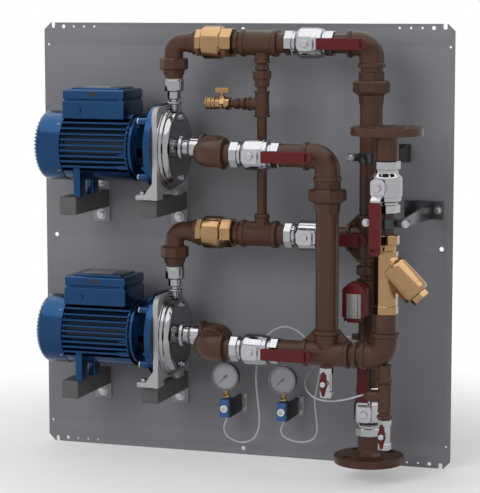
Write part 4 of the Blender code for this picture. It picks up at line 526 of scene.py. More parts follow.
def fin_tree():
    """Level fins across a round barrel: each is as wide as the barrel is at its height."""
    sizes = dict.fromkeys(("Barrel radius", "Fin length", "Fin thickness", "Axis height"), "Float")
    tree, given = geometry_tree("cooling_fins", sizes)
    radius, length, thickness, axis = (given[label] for label in sizes)
    spot = add(tree, "GeometryNodeInputPosition").outputs[0]
    place = add(tree, "ShaderNodeSeparateXYZ", links={0: spot}).outputs["Z"]
    height = figure(tree, "SUBTRACT", place, axis)
    squares = [figure(tree, "MULTIPLY", side, side) for side in (radius, height)]
    half = figure(tree, "SQRT", figure(tree, "SUBTRACT", *squares))
    width = figure(tree, "MULTIPLY", half, 2.0)
    size = add(tree, "ShaderNodeCombineXYZ", links={"X": length, "Y": width, "Z": thickness})
    fin = add(tree, "GeometryNodeMeshCube", {"Size": (1, 1, 1)})
    return spread_out(tree, given, fin.outputs[0], Scale=size.outputs[0])


def tick_tree():
    """Plain strokes round a dial, each turned towards its middle."""
    sizes = {"Stroke length": "Float", "Stroke width": "Float"}
    tree, given = geometry_tree("dial_strokes", {**sizes, "Centre": "Vector"})
    length, width = (given[label] for label in sizes)
    spot = add(tree, "GeometryNodeInputPosition").outputs[0]
    arm = add(tree, "ShaderNodeVectorMath", links={0: spot, 1: given["Centre"]}, operation="SUBTRACT")
    turn = add(tree, "FunctionNodeAlignRotationToVector", links={"Vector": arm.outputs[0]}, axis="Z")
    size = add(tree, "ShaderNodeCombineXYZ", links={"X": width, "Y": width, "Z": length})
    stroke = add(tree, "GeometryNodeMeshCube", {"Size": (1, 1, 1)})
    return spread_out(tree, given, stroke.outputs[0], Rotation=turn.outputs[0], Scale=size.outputs[0])


bolts = bolt_tree()
fins = fin_tree()
strokes = tick_tree()
upright = (0, 0, 0)
toward_viewer = (math.radians(90), 0, 0)
toward_right = (0, math.radians(90), 0)
toward_left = (0, math.radians(-90), 0)


def bolt_heads(name, spots, radius, height, turn=toward_viewer, finish=zinc_steel):
    sizes = {"Head radius": radius * mm, "Head height": height * mm, "Turn": turn}
    sizes.update({"Washer radius": radius * 1.35 * mm, "Washer height": 1.4 * mm})
    grown(name, bolts, spots, sizes, finish)


# Impulse tubes, whose routes are those of the solids
tube_radius = 2
tube_lead = 4
tube_points = 120
first_route = [
    (-22, -73, -411), (-20, -70, -429), (-5, -66, -443), (18, -60, -449), (40, -54, -441),
    (50, -50, -423), (53, -46, -396), (48, -42, -358), (43.5, -40, -323), (43.5, -40, -280),
    (52, -40, -235), (77, -42, -198), (112, -48, -182), (142, -55, -188), (164, -66, -200),
    (187, -85, -215), (205, -110, -232), (209, -137, -251), (204, -167, -261), (206, -200, -273),
    (218, -228, -286), (239, -247, -296), (263, -259, -299), (288, -268, -297), (318, -278, -290),
    (338, -283, -283),
]
second_route = [
    (112, -73, -410), (116, -72, -424), (134, -70, -434), (160, -68, -437), (181, -68, -431),
    (193, -70, -417), (196, -73, -398), (194, -78, -365), (194, -85, -335), (202, -94, -304),
    (213, -107, -262), (226, -121, -230), (244, -136, -203), (266, -147, -184),
]


def smooth_route(points, count):
    """Evenly spaced points on a Catmull-Rom curve through the route's own points."""
    spots = [Vector(point) for point in points]
    spots = [spots[0] * 2 - spots[1]] + spots + [spots[-1] * 2 - spots[-2]]
    fine = []
    for span in range(len(spots) - 3):
        a, b, c, d = spots[span : span + 4]
        for step in range(20):
            t = step / 20
            along = b * 2 + (c - a) * t + (a * 2 - b * 5 + c * 4 - d) * t * t
            fine.append((along + (b * 3 - a - c * 3 + d) * t * t * t) / 2)
    fine.append(spots[-2])
    lengths = [0]
    for first, second in zip(fine, fine[1:]):
        lengths.append(lengths[-1] + (second - first).length)
    route = []
    index = 0
    for step in range(count):
        target = lengths[-1] * step / (count - 1)
        while index < len(lengths) - 2 and lengths[index + 1] < target:
            index += 1
        share = (target - lengths[index]) / (lengths[index + 1] - lengths[index])
        route.append(fine[index].lerp(fine[index + 1], share))
    return route


def impulse_tube(node, route, start, end):
    """A thin tube that leaves its switch downwards and goes into its boss along +X."""
    start = Vector(start)
    end = Vector(end)
    places = [start - Vector((0, 0, tube_lead)), *route, end - Vector((tube_lead, 0, 0))]
    path = [start, *smooth_route(places, tube_points), end]
    length = sum((second - first).length for first, second in zip(path, path[1:])) * mm
    piece = make(node + "_line", [swept(path, tube_radius, 20)], grey_tube, stands_for=[node])


impulse_tube("first_tube", first_route, (-16, -73, -393.6), (358.7, suction_y, -277))
impulse_tube("second_tube", second_route, (118, -73, -393.6), (296.55, axis_y, -178))


# Mounting plate: sheet steel with open slots, rows of small holes and cut corners
def mounting_plate():
    half_width, half_height, thickness = 482, 490, 3
    row_pitch, small, large = 25.4, 2.6, 4.5
    slot_x = half_width - 22
    side = [(half_width, half_height - 16), (half_width - 16, half_height), (slot_x + large, half_height)]
    side += arc((slot_x, half_height - 8), large, 0, -180, 12)
    side.append((slot_x - large, half_height))
    outline = side + [(-x, z) for x, z in reversed(side)]
    outline += [(-x, -z) for x, z in side] + [(x, -z) for x, z in reversed(side)]
    holes = []
    for across in (-1, 1):
        for end in (-1, 1):
            for index in range(4):
                x = across * (slot_x - (index + 1) * row_pitch)
                holes.append(ring_points(small if index else large, 24, (x, end * (half_height - 9))))
            holes.append(ring_points(small, 24, (across * (half_width - 10), end * (half_height - 50))))
        holes.append(ring_points(5, 28, (across * (half_width - 25), 0)))
        holes.append(ring_points(5, 28, (0, across * (half_height - 14))))
    sheet = cut_sheet(outline[::-1], thickness, [hole[::-1] for hole in holes], 0.25)
    sheet = put(sheet, (0, -thickness / 2, 0), "-Y")
    make("plate_sheet", [sheet], powder_coat, stands_for=["mounting_plate"])


# Support arms: square tube on a foot, with its two bolts
def support_arms(level, axis_z):
    top = axis_z - 110.3
    for side, x in (("left", -341.5), ("right", -151)):
        name = level + "_" + side
        tube = block((x - 19.7, -205, top - 40), (x + 19.7, -6, top), 2)
        make(name + "_tube", [tube], arm_paint, stands_for=[name + "_arm"])
        foot = block((x - 20, -9.3, top - 75), (x + 20, wall_y, top + 35), 0.8)
        make(name + "_base", [foot], base_paint)
        bolt_heads(name + "_base_bolts", [(x, -9.3, top - 58), (x, -9.3, top + 18)], 8.5, 6.4)


# Motors
def motor_housing(level, axis_z):
    rear, front, radius = -352, -195, 76
    middle = (rear + front) / 2
    centre = (0, axis_y, axis_z)
    core = placed(centre, "X", rod(62.5, rear, front))
    # The barrel under the fins takes the dark enamel, which is painted shade in the gaps between the fins
    make(level + "_motor_core", core, fin_shade_enamel)
    shells = []
    # Closed parts of the barrel below and above the fins
    for down, edge_z, steps in ((270, 51.75, 24), (90, 63.75, 16)):
        half = math.degrees(math.acos(edge_z / radius))
        slab = edgewise(cut_sheet(arc((0, 0), radius, down - half, down + half, steps), front - rear, edge=1))
        shells.append(put(slab, (middle, axis_y, axis_z)))
    for near in (-55, 20):
        shells.append(put(block((-328.5, near, -110), (-311.5, near + 35, -44), 3), centre))
    shells += placed(centre, "X", rod(68, rear - 13.5, rear + 3), rod(73, front - 5, front))
    for y, z, start in ((-65, -13, -22), (-53, -41, -32)):
        boss = [(start, 6), (start + 8, 6), (start + 8.5, 8), (-1, 8)]
        shells.append(put(lathe(boss, 32, edge=0.8), (front, axis_y + y, axis_z + z), "X"))
    lower_case = block((-351.5, -60, 62), (-205, 60, 102.6), 4)
    lid = block((-351.5, -60, 104), (-205, 60, 127), 6.5, 4)
    neck = block((-348, -56.5, 98), (-208.5, 56.5, 110), 3)
    crown = block((-335.5, -44, 120), (-221, 44, 131), 3.4, 4)
    shells += placed(centre, "Z", lower_case, lid, neck, crown)
    for x in (-342, -214.5):
        shells.append(put(rod(7, 96, 123, 32), (x, axis_y - 52, axis_z)))
    make(level + "_motor_case", shells, motor_enamel, stands_for=[level + "_motor_housing"])
    spots = [(middle, axis_y, axis_z + (index + 0.5) * 12) for index in range(-4, 5)]
    sizes = {"Barrel radius": radius * mm, "Fin length": (front - rear - 1) * mm}
    sizes.update({"Fin thickness": 4.2 * mm, "Axis height": axis_z * mm})
    grown(level + "_motor_fins", fins, spots, sizes, motor_enamel)
    entry = put(rod(9, 0, 3.5, 40, 0.8), (-315, axis_y - 59.5, axis_z + 81), "-Y")
    make(level + "_entry_plug", [entry], motor_enamel)
    screw = rod(5.6, -2, 1.2, 32, 0.5)
    screws = [put(screw, (x, axis_y - 59.6, axis_z + 117), "-Y") for x in (-285, -270.5)]
    make(level + "_lid_screws", screws, black_abs)
    plate = block((-318, -26, 130.6), (-252, 26, 131.6), 0.4, 2)
    make(level + "_lid_plate", [put(plate, centre)], bare_plate)


def slotted(shell, slots):
    """A shell with slots cut on both sides of Y = 0, each given as its spans in X, Y and Z and its edge."""
    cutters = []
    for (x0, x1), (y0, y1), (z0, z1), edge in slots:
        for side in (-1, 1):
            low, high = sorted((side * y0, side * y1))
            cutters.append(block((x0, low, z0), (x1, high, z1), edge))
    return carved(shell, cutters)


def fan_cowl(level, axis_z):
    front, rear, radius = -352.3, -419.3, 77
    profile = [(rear, 4), (rear, 55), (rear + 2, 63), (rear + 6, 70), (rear + 13, 76), (rear + 19, radius)]
    profile += [(front, radius), (front, 75), (rear + 19, 75), (rear + 14, 74), (rear + 8, 68.5)]
    profile += [(rear + 4, 62), (rear + 2.2, 54), (rear + 2.2, 4)]
    shell = put(lathe(profile, 72, ring=True, edge=0.4), axis="X")
    rows = [index * 8 for index in range(-7, 8)]
    body = slotted(shell, [((rear - 3, rear + 10.5), (12, 80), (z - 2, z + 2), 0) for z in rows])
    body = put(body, (0, axis_y, axis_z))
    make(level + "_cowl", [body], motor_enamel, stands_for=[level + "_fan_cowl"])
    screws = [put(rod(9, rear + 0.4, rear + 3, 40), (0, axis_y, axis_z), "X")]
    head = put(rod(3.2, -2, 0.2, 24, 0.6), axis="Y")
    for angle in (40, 140, 220, 320):
        y, z = around(radius, angle, (axis_y, axis_z))
        screws.append(put(swung(head, "X", angle - 90), (front - 7, y, z)))
    make(level + "_cowl_hub", screws, zinc_steel)


def lantern(level, axis_z):
    rear, mouth, front = -194.7, -148, -132.3
    profile = [(rear, 24), (rear, 70), (rear + 8, 70), (rear + 8, 52), (rear + 16, 54), (rear + 27, 61)]
    profile += [(rear + 38, 72), (mouth, 84), (mouth, 97), (front, 97), (front, 77), (mouth, 77)]
    profile += [(rear + 34, 62), (rear + 24, 53), (rear + 10, 45), (rear + 8, 24)]
    shell = put(lathe(profile, 72, ring=True, edge=1.5), axis="X")
    window = ((mouth - 30, mouth - 2), (30, 100), (-56, 2), 4)
    shells = [put(slotted(shell, [window]), (0, axis_y, axis_z))]
    spots = []
    for angle in (42, 138, 222, 318):
        y, z = around(90.2, angle, (axis_y, axis_z))
        shells.append(put(rod(8, mouth - 18, mouth + 4, 32), (0, y, z), "X"))
        spots.append((mouth - 18, y, z))
    rib = cut_sheet([(rear + 6, 50), (mouth + 2, 76), (mouth + 2, 93), (rear + 6, 68)], 6)
    shells += [put(rib, (0, axis_y - 6, axis_z), "Y"), put(rib, (0, axis_y + 6, axis_z), "-Y")]
    make(level + "_bell", shells, motor_enamel, stands_for=[level + "_lantern"])
    bolt_heads(level + "_bell_bolts", spots, 6, 2.2, toward_left)


def foot_plate(level, axis_z):
    half, bottom, top, turn = 82, -109.5, 92, 24
    centre = (0, axis_y, axis_z)
    outline = arc((half - turn, top - turn), turn, 0, 90, 12)
    outline += arc((turn - half, top - turn), turn, 90, 180, 12)
    outline += [(-half, bottom), (-45, bottom), (-45, bottom + 10), (-41, bottom + 14)]
    outline += [(41, bottom + 14), (45, bottom + 10), (45, bottom), (half, bottom)]
    sheet = edgewise(cut_sheet(outline, 12, [ring_points(20, 40)], 1))
    shells = [put(sheet, (-126, axis_y, axis_z))]
    web = [(-152, bottom + 9), (-128, bottom + 9), (-128, bottom + 37), (-132.5, bottom + 36)]
    spots = []
    for side in (-1, 1):
        near, far = sorted((side * 51, side * 81.8))
        shells.append(put(block((-171, near, bottom), (-130, far, bottom + 11), 2), centre))
        shells.append(put(cut_sheet(web, 8), (0, axis_y + side * 77, axis_z), "-Y"))
        spots.append((-160, axis_y + side * 64, axis_z + bottom + 11))
    make(level + "_foot", shells, cast_aluminium, stands_for=[level + "_foot_plate"])
    bolt_heads(level + "_foot_bolts", spots, 7, 5, upright)


def pump_casing(level, axis_z):
    centre = (0, axis_y, axis_z)
    profile = [(-119.7, 93), (-115.7, 93), (-115, 88.5), (-109, 88.5), (-106.5, 83.5), (-101, 82)]
    profile += [(-96, 79), (-93.9, 73), (-93.5, 64), (-93.5, 40), (-92, 29), (-85.5, 28)]
    profile += [(-85.5, 19), (-47, 19)]
    shells = [put(lathe(profile, 96, edge=1.6), centre, "X")]
    stub = [(70, 9), (95, 9), (95, 15), (97, 17), (99.5, 17), (101, 15), (101, 9.4), (106, 9.4), (106, 13)]
    stub += [(108, 14.5), (123, 14.5), (124, 20), (126, 21.3), (147, 21.3), (148, 20.4), (151.7, 20.4)]
    shells += placed((discharge_x, axis_y, axis_z), "Z", lathe(stub, 56, edge=0.8), nut(17, 95, 101.5))
    make(level + "_casing", shells, polished_stainless, stands_for=[level + "_pump_casing"])
    sleeve = lathe([(-74, 21), (-71, 23.4), (-67, 24), (-65, 23), (-49, 23), (-47, 22.4)], 64, edge=0.5)
    sleeves = placed(centre, "X", sleeve, nut(20, -83, -73))
    make(level + "_suction_nipple", sleeves, bright_chrome)
    spots = [(-93.7, axis_y, axis_z + height) for height in (66, -66)]
    bolt_heads(level + "_casing_plugs", spots, 6.5, 6, toward_right, bright_chrome)


# Screwed fittings: radii of body and rim, and how far both reach from the middle
body_radius, rim_radius = 26.5, 30
body_reach, rim_reach = 45, 50


def bead(centre, direction, radius=rim_radius):
    """The thick rim of a fitting at the end of one of its ways."""
    inner, length = 24.5, 11
    profile = [(rim_reach - length, inner), (rim_reach - length * 0.75, radius - 0.6)]
    profile += [(rim_reach - length * 0.55, radius), (rim_reach, radius)]
    return put(lathe(profile, edge=1.6), centre, direction)


def bend_path(corner, first, second, turn):
    """Points of a quarter bend that comes along the first way and leaves along the second."""
    a, b = Vector(ways[first]), Vector(ways[second])
    path = []
    for index in range(15):
        angle = math.radians(90 * index / 14)
        path.append(Vector(corner) + a * turn * (1 - math.sin(angle)) + b * turn * (1 - math.cos(angle)))
    return path


def elbow(centre, first, second, body=body_radius, ring=rim_radius):
    start, end = (Vector(centre) + Vector(ways[way]) * body_reach for way in (first, second))
    path = [start, *bend_path(centre, first, second, 31), end]
    return [swept(path, body), bead(centre, first, ring), bead(centre, second, ring)]


def tee(centre, run, branch, back):
    shells = [put(rod(body_radius, -body_reach, body_reach), centre, run)]
    shells.append(put(rod(25.2, 0, body_reach), centre, branch))
    return shells + [bead(centre, way) for way in (run, back, branch)]


def gusset(centre, run, branch):
    """A web between two rings of a tee, from one ring's edge to the other's."""
    low, edge, high, half = 22, 29, 48, 5
    a, b = Vector(ways[run]), Vector(ways[branch])
    across = a.cross(b) * half
    line = [(low, low), (high, low), (high, edge), (edge, high), (low, high)]
    ends = [Vector(centre) + a * along + b * up for along, up in line]
    corners = [end + across for end in ends] + [end - across for end in ends]
    faces = [tuple(range(5)), tuple(range(9, 4, -1))]
    faces += [(index, (index + 1) % 5, 5 + (index + 1) % 5, 5 + index) for index in range(5)]
    return corners, faces


def union_rings(x, y, top):
    """Ring, nut and base of a screwed union, from its top down."""
    ring = nut(27.5, top - 21, top, 8, 1)
    collar = nut(40, top - 45, top - 19, 8, 3.5)
    base = lathe([(top - 69, 25.5), (top - 50, 27.5), (top - 44, 35)], 8, edge=0)
    return [*placed((x, y, 0), "Z", ring, collar), put(base, (x, y, 0), spin=22.5)]


def discharge_bend(level, axis_z):
    line_z = axis_z + line_rise
    at = (discharge_x, axis_y, axis_z)
    shells = placed(at, "Z", rod(20, 152.3, 172), nut(31, 170.3, 196.3, 8, 3))
    shells.append(put(lathe([(157, 20), (163, 23), (171, 24)], 8, edge=0), at, spin=22.5))
    path = [(discharge_x, axis_y, axis_z + 194)]
    path += bend_path((discharge_x, axis_y, line_z), "-Z", "X", 24)
    shells.append(swept([*path, (-73, axis_y, line_z)], 20.5))
    collar = [(-77, 19), (-75, 22.5), (-66, 23.5), (-64, 26), (-62, 27), (-54, 27)]
    shells.append(put(lathe(collar), (0, axis_y, line_z), "X"))
    make(level + "_bend", shells, brown_lacquer, stands_for=[level + "_discharge_bend"])


def check_valve(level, axis_z):
    start, end = -53.7, 28.3
    barrel = [(start + 12, 28), (start + 14, 33), (start + 17, 35.8), (end - 28, 35.8), (end - 24, 32)]
    pieces = [nut(31, start, start + 14, 8, 1), lathe(barrel, 72), nut(33, end - 25, end, 8, 1)]
    shells = placed((0, axis_y, axis_z + line_rise), "X", *pieces)
    make(level + "_check_body", shells, satin_brass, stands_for=[level + "_check_valve"])


def link_pipe():
    shells = []
    for axis_z in levels.values():
        run = [(28.6, nipple), (38, nipple), (40, 23), (44, 23.5), (45, 28.5), (47, 30), (55, 30)]
        run += [(57, 26.8), (117, 26.8), (119, 30), (127, 30), (129, 28.5), (130, nipple), (146.7, nipple)]
        shells += placed((0, axis_y, axis_z + line_rise), "X", lathe(run, 64), nut(26.5, 33, 41, 8, 1))
    boss = lathe([(20, 17.5), (34, 15.5), (36, 17), (43, 17), (44, 15)], 48)
    shells += [put(boss, (link_x, axis_y, 450), "-Z"), put(boss, (link_x, axis_y, 37))]
    tee_low, tee_high, tee_radius = 291, 347, 15.5
    column = [rod(10.65, 60, 430, 48), rod(tee_radius, tee_low, tee_high, 48)]
    column += [rod(tee_radius + 1.5, edge, edge + 5, 48) for edge in (tee_low, tee_high - 5)]
    column += [nut(20, 372, 391, 8, 2.5), nut(16, 355, 374, 8, 1.5), nut(15, 392, 404, 8, 1)]
    shells += placed((link_x, axis_y, 0), "Z", *column)
    branch = [(20.3, 8.5), (30, 8.5), (31, 12), (41, 12), (42, 8.5), (47, 8.5), (48, 13), (55, 14)]
    branch += [(56, 8.5), (60, 8.5), (61, 15), (66, 16), (68, 13.5), (90, 13.5)]
    shells.append(put(lathe(branch, 48, edge=0.6), (0, axis_y, branch_z), "X"))
    make("link_line", shells, brown_lacquer, stands_for=["link_pipe"])


def drain_cock():
    profile = [(-39, 6.5), (-39, 8.5), (-36, 9), (-35, 10)]
    for place in (-35, -26, -17):
        profile += [(place, 13.6), (place + 1.2, 14.5), (place + 3.3, 14.5), (place + 4.5, 13.4)]
        profile += [(place + 4.8, 12), (place + 9, 12)]
    profile += [(11, 12), (11, 14.5), (20, 14.5), (20, 3), (-30, 3), (-30, 6.5)]
    stem_place = (1, axis_y, branch_z)
    barrel = put(lathe(profile, 56, ring=True, edge=0.5), (0, axis_y, branch_z), "X")
    boss = put(lathe([(6, 8.6), (14, 8), (17, 7)], 40), stem_place)
    flats = put(nut(14, -3, 8, 6, 1), (0, axis_y, branch_z), "X")
    make("cock_barrel", [barrel, boss, flats], satin_brass, stands_for=["drain_cock"])
    grip = block((-16, -3, 22), (16, 3, 34), 1.6)
    stem = lathe([(-6.5, 4), (20, 4), (20, 5.5), (26, 5.5)], 32)
    pieces = placed(stem_place, "Z", grip, stem)
    make("cock_grip", pieces, satin_brass, "drain_cock_handle_body", ["drain_cock_handle"])


# Ball valves
def ball_valve(name, centre, turn, aside=0):
    """A valve along X with its stem towards the viewer, and its lever, turned into place."""

    def settled(shells):
        return [put(swung(swung(shell, "Y", turn), "Z", aside), centre) for shell in shells]

    barrel = [(-37, 24.5), (-30, 24.5), (-28, 26), (-22, 31.5), (-19, 33), (19, 33), (21, 31), (28, 31)]
    barrel += [(30, 28), (31, 24.5), (37, 24.5)]
    ends = [nut(28.5, start, end, 8, 1.2) for start, end in ((-53.5, -36), (36, 53.5))]
    shells = placed((0, 0, 0), "X", lathe(barrel, 72, edge=1.6), *ends, rod(28.8, 23, 29, 64))
    shells.append(put(lathe([(20, 16), (34, 14), (36, 13), (41.5, 13)], 48), axis="-Y"))
    make(name + "_body", settled(shells), bright_chrome, stands_for=[name])
    lever_name = name.replace("valve", "lever")
    body = lever_name + "_body"
    hub = [(-18, -10), (-13, -15.5), (13, -15.5), (18, -11), (18, 11), (13, 15.5), (-13, 15.5), (-18, 10)]
    plate = put(cut_sheet(hub, 3, edge=0.6), (0, -45.5, 0), "-Y")
    strip = [(15, -47), (18, -47), (25, -54), (60, -54), (60, -57), (23.8, -57), (17, -50), (15, -50)]
    stem = lathe([(0, 6), (52, 6), (53, 5)], 32)
    washer = rod(9.6, 46.8, 48.2, 40, 0.3)
    turned = placed((0, 0, 0), "-Y", stem, washer, nut(8.6, 48, 54, 6, 0.8))
    steel = settled([plate, cut_sheet(strip, 22), *turned])
    make(lever_name + "_hub", steel, zinc_steel, body, [lever_name])
    end = 139
    outline = arc((end - 12.5, 0), 12.5, -90, 90, 20) + [(32, 12.5), (28, 11), (28, -11), (32, -12.5)]
    slot = arc((end - 13, 7), 2.3, 0, 180, 8) + arc((end - 13, -7), 2.3, 180, 360, 8)
    sleeve = put(cut_sheet(outline, 8, [slot], 1.6), (0, -55.5, 0), "-Y")
    make(lever_name + "_sleeve", settled([sleeve]), red_vinyl, body)


# Riser
def riser():
    low = (riser_x, axis_y, 37)
    shells = elbow((riser_x, axis_y, 450), "-X", "-Z")
    shells += [put(rod(nipple, 254.3, 287), (0, axis_y, line_z), "X") for line_z in (450, 37)]
    shells += tee(low, "Z", "-X", "-Z")
    shells += [gusset(low, "Z", "-X"), gusset(low, "-Z", "-X")]
    shells += union_rings(riser_x, axis_y, 391)
    line = [(-284.2, nipple), (-274, nipple), (-273, pipe), (-71, pipe), (-71, 28), (-69, 30), (-53, 30)]
    line += [(-51, 28), (-51, nipple), (-42, nipple), (-42, 28), (-40, 30), (-24, 30), (-22, 28)]
    line += [(-22, nipple), (-10, nipple)]
    column = [rod(23.5, 389, 402), rod(pipe, 85, 324), lathe(line, 64)]
    shells += placed((riser_x, axis_y, 0), "Z", *column)
    shells.append(put(rod(15, 18, 27.1, 40), (riser_x, axis_y, -93), "-Y"))
    socket = [(18, 9), (27, 9), (28, 7), (38.1, 7)]
    shells.append(put(lathe(socket, 32), (riser_x, axis_y, -178), "-X"))
    make("riser_line", shells, brown_lacquer, stands_for=["riser"])


def flow_switch():
    left, right, z, corner, half = 295, 343, -93, 13, 41.5
    outline = [(left + corner, -half), (right - corner, -half), (right, corner - half)]
    outline += [(right, half - corner), (right - corner, half), (left + corner, half)]
    outline += [(left, half - corner), (left, corner - half)]
    shells = [put(cut_sheet(outline, 30, edge=2), (0, -196, z), "-Y")]
    shells.append(put(cut_sheet(outline, 18.5, edge=2.2), (0, -221.7, z), "-Y"))
    shells.append(put(rod(24, 30, 50, 48), ((left + right) / 2, -160, z), "-Y"))
    shells.append(put(rod(10, 27.4, 34, 40), (riser_x, axis_y, z), "-Y"))
    make("flow_box", shells, red_enamel, stands_for=["flow_switch"])
    plate = block((305.6, -233.6, z - 32), (330, -230.6, z + 20), 0.6)
    rim = block((330.5, -232.4, z - 32), (336.5, -230.6, z + 20), 0.4)
    make("flow_plate", [plate, rim], bare_plate)
    spots = [(x, -231, z + up) for up in (32, -36) for x in (301.5, 336.5)]
    bolt_heads("flow_screws", spots, 1.8, 1, finish=black_steel)


def pipe_flange(name, x, y, face_z, length, way):
    profile = [(0, 20.5), (0, 44), (2, 44), (2, 75), (19, 75), (19, 33), (21, 31), (28, 25.5)]
    profile += [(32, pipe), (length, pipe), (length, 20.5)]
    cutters = [put(rod(9, -4, 24, 32, 0), (*around(55, 90 * index + 45), 0)) for index in range(4)]
    body = carved(lathe(profile, 96, ring=True, edge=1.3), cutters)
    make(name + "_ring", [put(body, (x, y, face_z), way)], brown_lacquer, stands_for=[name])


def suction_offset(level, axis_z):
    x = 3.3
    shells = elbow((x, axis_y, axis_z), "-X", "-Y", 29, 33) + elbow((x, suction_y, axis_z), "Y", "X", 29, 33)
    shells.append(put(rod(24, 180, 255), (x, 0, axis_z), "-Y"))
    shells.append(put(rod(nipple, x + 47, 68.2), (0, suction_y, axis_z), "X"))
    make(level + "_offset", shells, brown_lacquer, stands_for=[level + "_suction_offset"])


def manifold():
    low_z = levels["lower"]
    low = (drop_x, suction_y, low_z)
    shells = elbow((drop_x, suction_y, levels["upper"]), "-X", "-Z")
    shells += [put(rod(pipe, 175.8, 230), (0, suction_y, line_z), "X") for line_z in levels.values()]
    shells += union_rings(drop_x, suction_y, 172)
    shells.append(put(rod(pipe, -145, 104), (drop_x, suction_y, 0)))
    shells += tee(low, "X", "Z", "-X")
    shells += [gusset(low, "X", "Z"), gusset(low, "-X", "Z")]
    shells += placed((0, suction_y, low_z), "X", rod(nipple, 326, 356), nut(29, 337, 345, 8, 1))
    shells += elbow((inlet_x, suction_y, low_z), "-X", "Z")
    tail = [(-325, 14.5), (-323, 16.5), (-317, 16.5), (-315, 13), (-312, 13), (-310, 15), (-304, 15)]
    tail += [(-303, 14.5), (-251, 14.5), (-250, 12), (-247.5, 12), (-246, 16.5), (-240, 16.5)]
    tail += [(-238, 14), (-210, 14)]
    shells += placed((inlet_x, suction_y, 0), "Z", rod(pipe, -145, -103.3), lathe(tail, 48))
    reach = [(0, 13), (33, 13), (37, 12), (37, 7), (45, 7)]
    shells.append(put(lathe(reach, 40), (inlet_x, suction_y, -277), "-X"))
    shells.append(put(rod(14, 20, 29, 40), low, "-Z"))
    make("manifold_line", shells, brown_lacquer, stands_for=["suction_manifold"])


def strainer():
    column = [nut(25.5, -88, 30, 8, 2), rod(21, 20, 60), nut(26.5, -103, -85, 8, 1), nut(28, 42, 62, 8, 1)]
    shells = placed((inlet_x, suction_y, 0), "Z", *column)
    angle = math.radians(46)
    way = Vector((math.cos(angle), 0, -math.sin(angle)))
    turn = way.to_track_quat("Z", "Y").to_matrix().to_4x4()
    move = Matrix.Translation((inlet_x, suction_y, 10)) @ turn
    barrel = [(0, 23.5), (16, 23.5), (20, 28), (25, 30), (90, 30), (93, 29.4), (97, 27)]
    for corners, faces in (lathe(barrel, 64, edge=2.5), rod(30.35, 76, 78, 64), nut(20.5, 96, 111, 6, 2)):
        shells.append(([move @ corner for corner in corners], faces))
    make("strainer_body", shells, satin_brass, stands_for=["strainer"])
    pipe_end = put(rod(19, 60, 107.2), (inlet_x, suction_y, 0))
    make("strainer_nipple", [pipe_end], brown_lacquer)


# Small valves
def small_valve(name, x, top):
    z = top - 32.3
    at = (x, suction_y, z)
    shells = placed(at, "Z", rod(12, -30, 30, 48), nut(14.5, -32, -18, 6, 1), nut(14.5, 18, 32, 6, 1))
    shells.append(put(lathe([(4, 8.5), (17, 7.5), (20, 7)], 32), at, "-Y"))
    make(name + "_shell", shells, bright_chrome, stands_for=[name])
    body = name + "_handle_body"
    end, tip = 26, 3.6
    outline = arc((0, end - tip), tip, 0, 180, 12) + [(-5.2, 13), (-8.2, 5), (-8.2, -5), (-5.2, -13)]
    outline += arc((0, tip - end), tip, 180, 360, 12) + [(5.2, -13), (8.2, -5), (8.2, 5), (5.2, 13)]
    wing = put(cut_sheet(outline, 5, edge=1.2), (x, suction_y - 25.5, z), "-Y")
    make(name + "_wing", [wing], red_vinyl, body, [name + "_handle"])
    stem = placed(at, "-Y", rod(3, 0, 30, 24), nut(6.4, 27.8, 33, 6, 0.8))
    make(name + "_wing_nut", stem, zinc_steel, body)


# Clamps
def pipe_clamp(name, centre, radius, strap_reach, foot_low, foot_high, screw):
    """A two-part clamp round a pipe, with its strap and foot on the plate."""
    x, y, z = centre
    inner = radius + 0.3
    band = lathe([(-10, inner), (-10, inner + 3), (10, inner + 3), (10, inner)], 64, ring=True, edge=0.8)
    shells = [put(band, centre)]
    for side in (-1, 1):
        near, far = sorted((x + side * (inner + 1), x + side * 50))
        for front, back in ((-4.5, -0.8), (0.8, 4.5)):
            shells.append(block((near, y + front, z - 8), (far, y + back, z + 8), 1))
    strap = edgewise(cut_sheet([(y, -7.5), (-5, -19.5), (-5, 19.5), (y, 7.5)], 4, edge=0.6))
    shells.append(put(strap, (x + strap_reach, 0, z)))
    shells.append(block((x + foot_low, -7.3, z - 20), (x + foot_high, wall_y, z + 20), 1))
    make(name + "_band", shells, black_steel, stands_for=[name])
    bolt_heads(name + "_ear_bolts", [(x - 42, y - 4.5, z), (x + 42, y - 4.5, z)], 6, 4.4)
    bolt_heads(name + "_foot_bolt", [(x + screw, -7.3, z)], 6, 3)


# Gauges and switches, each pair on its own upright line
switch_y = -73


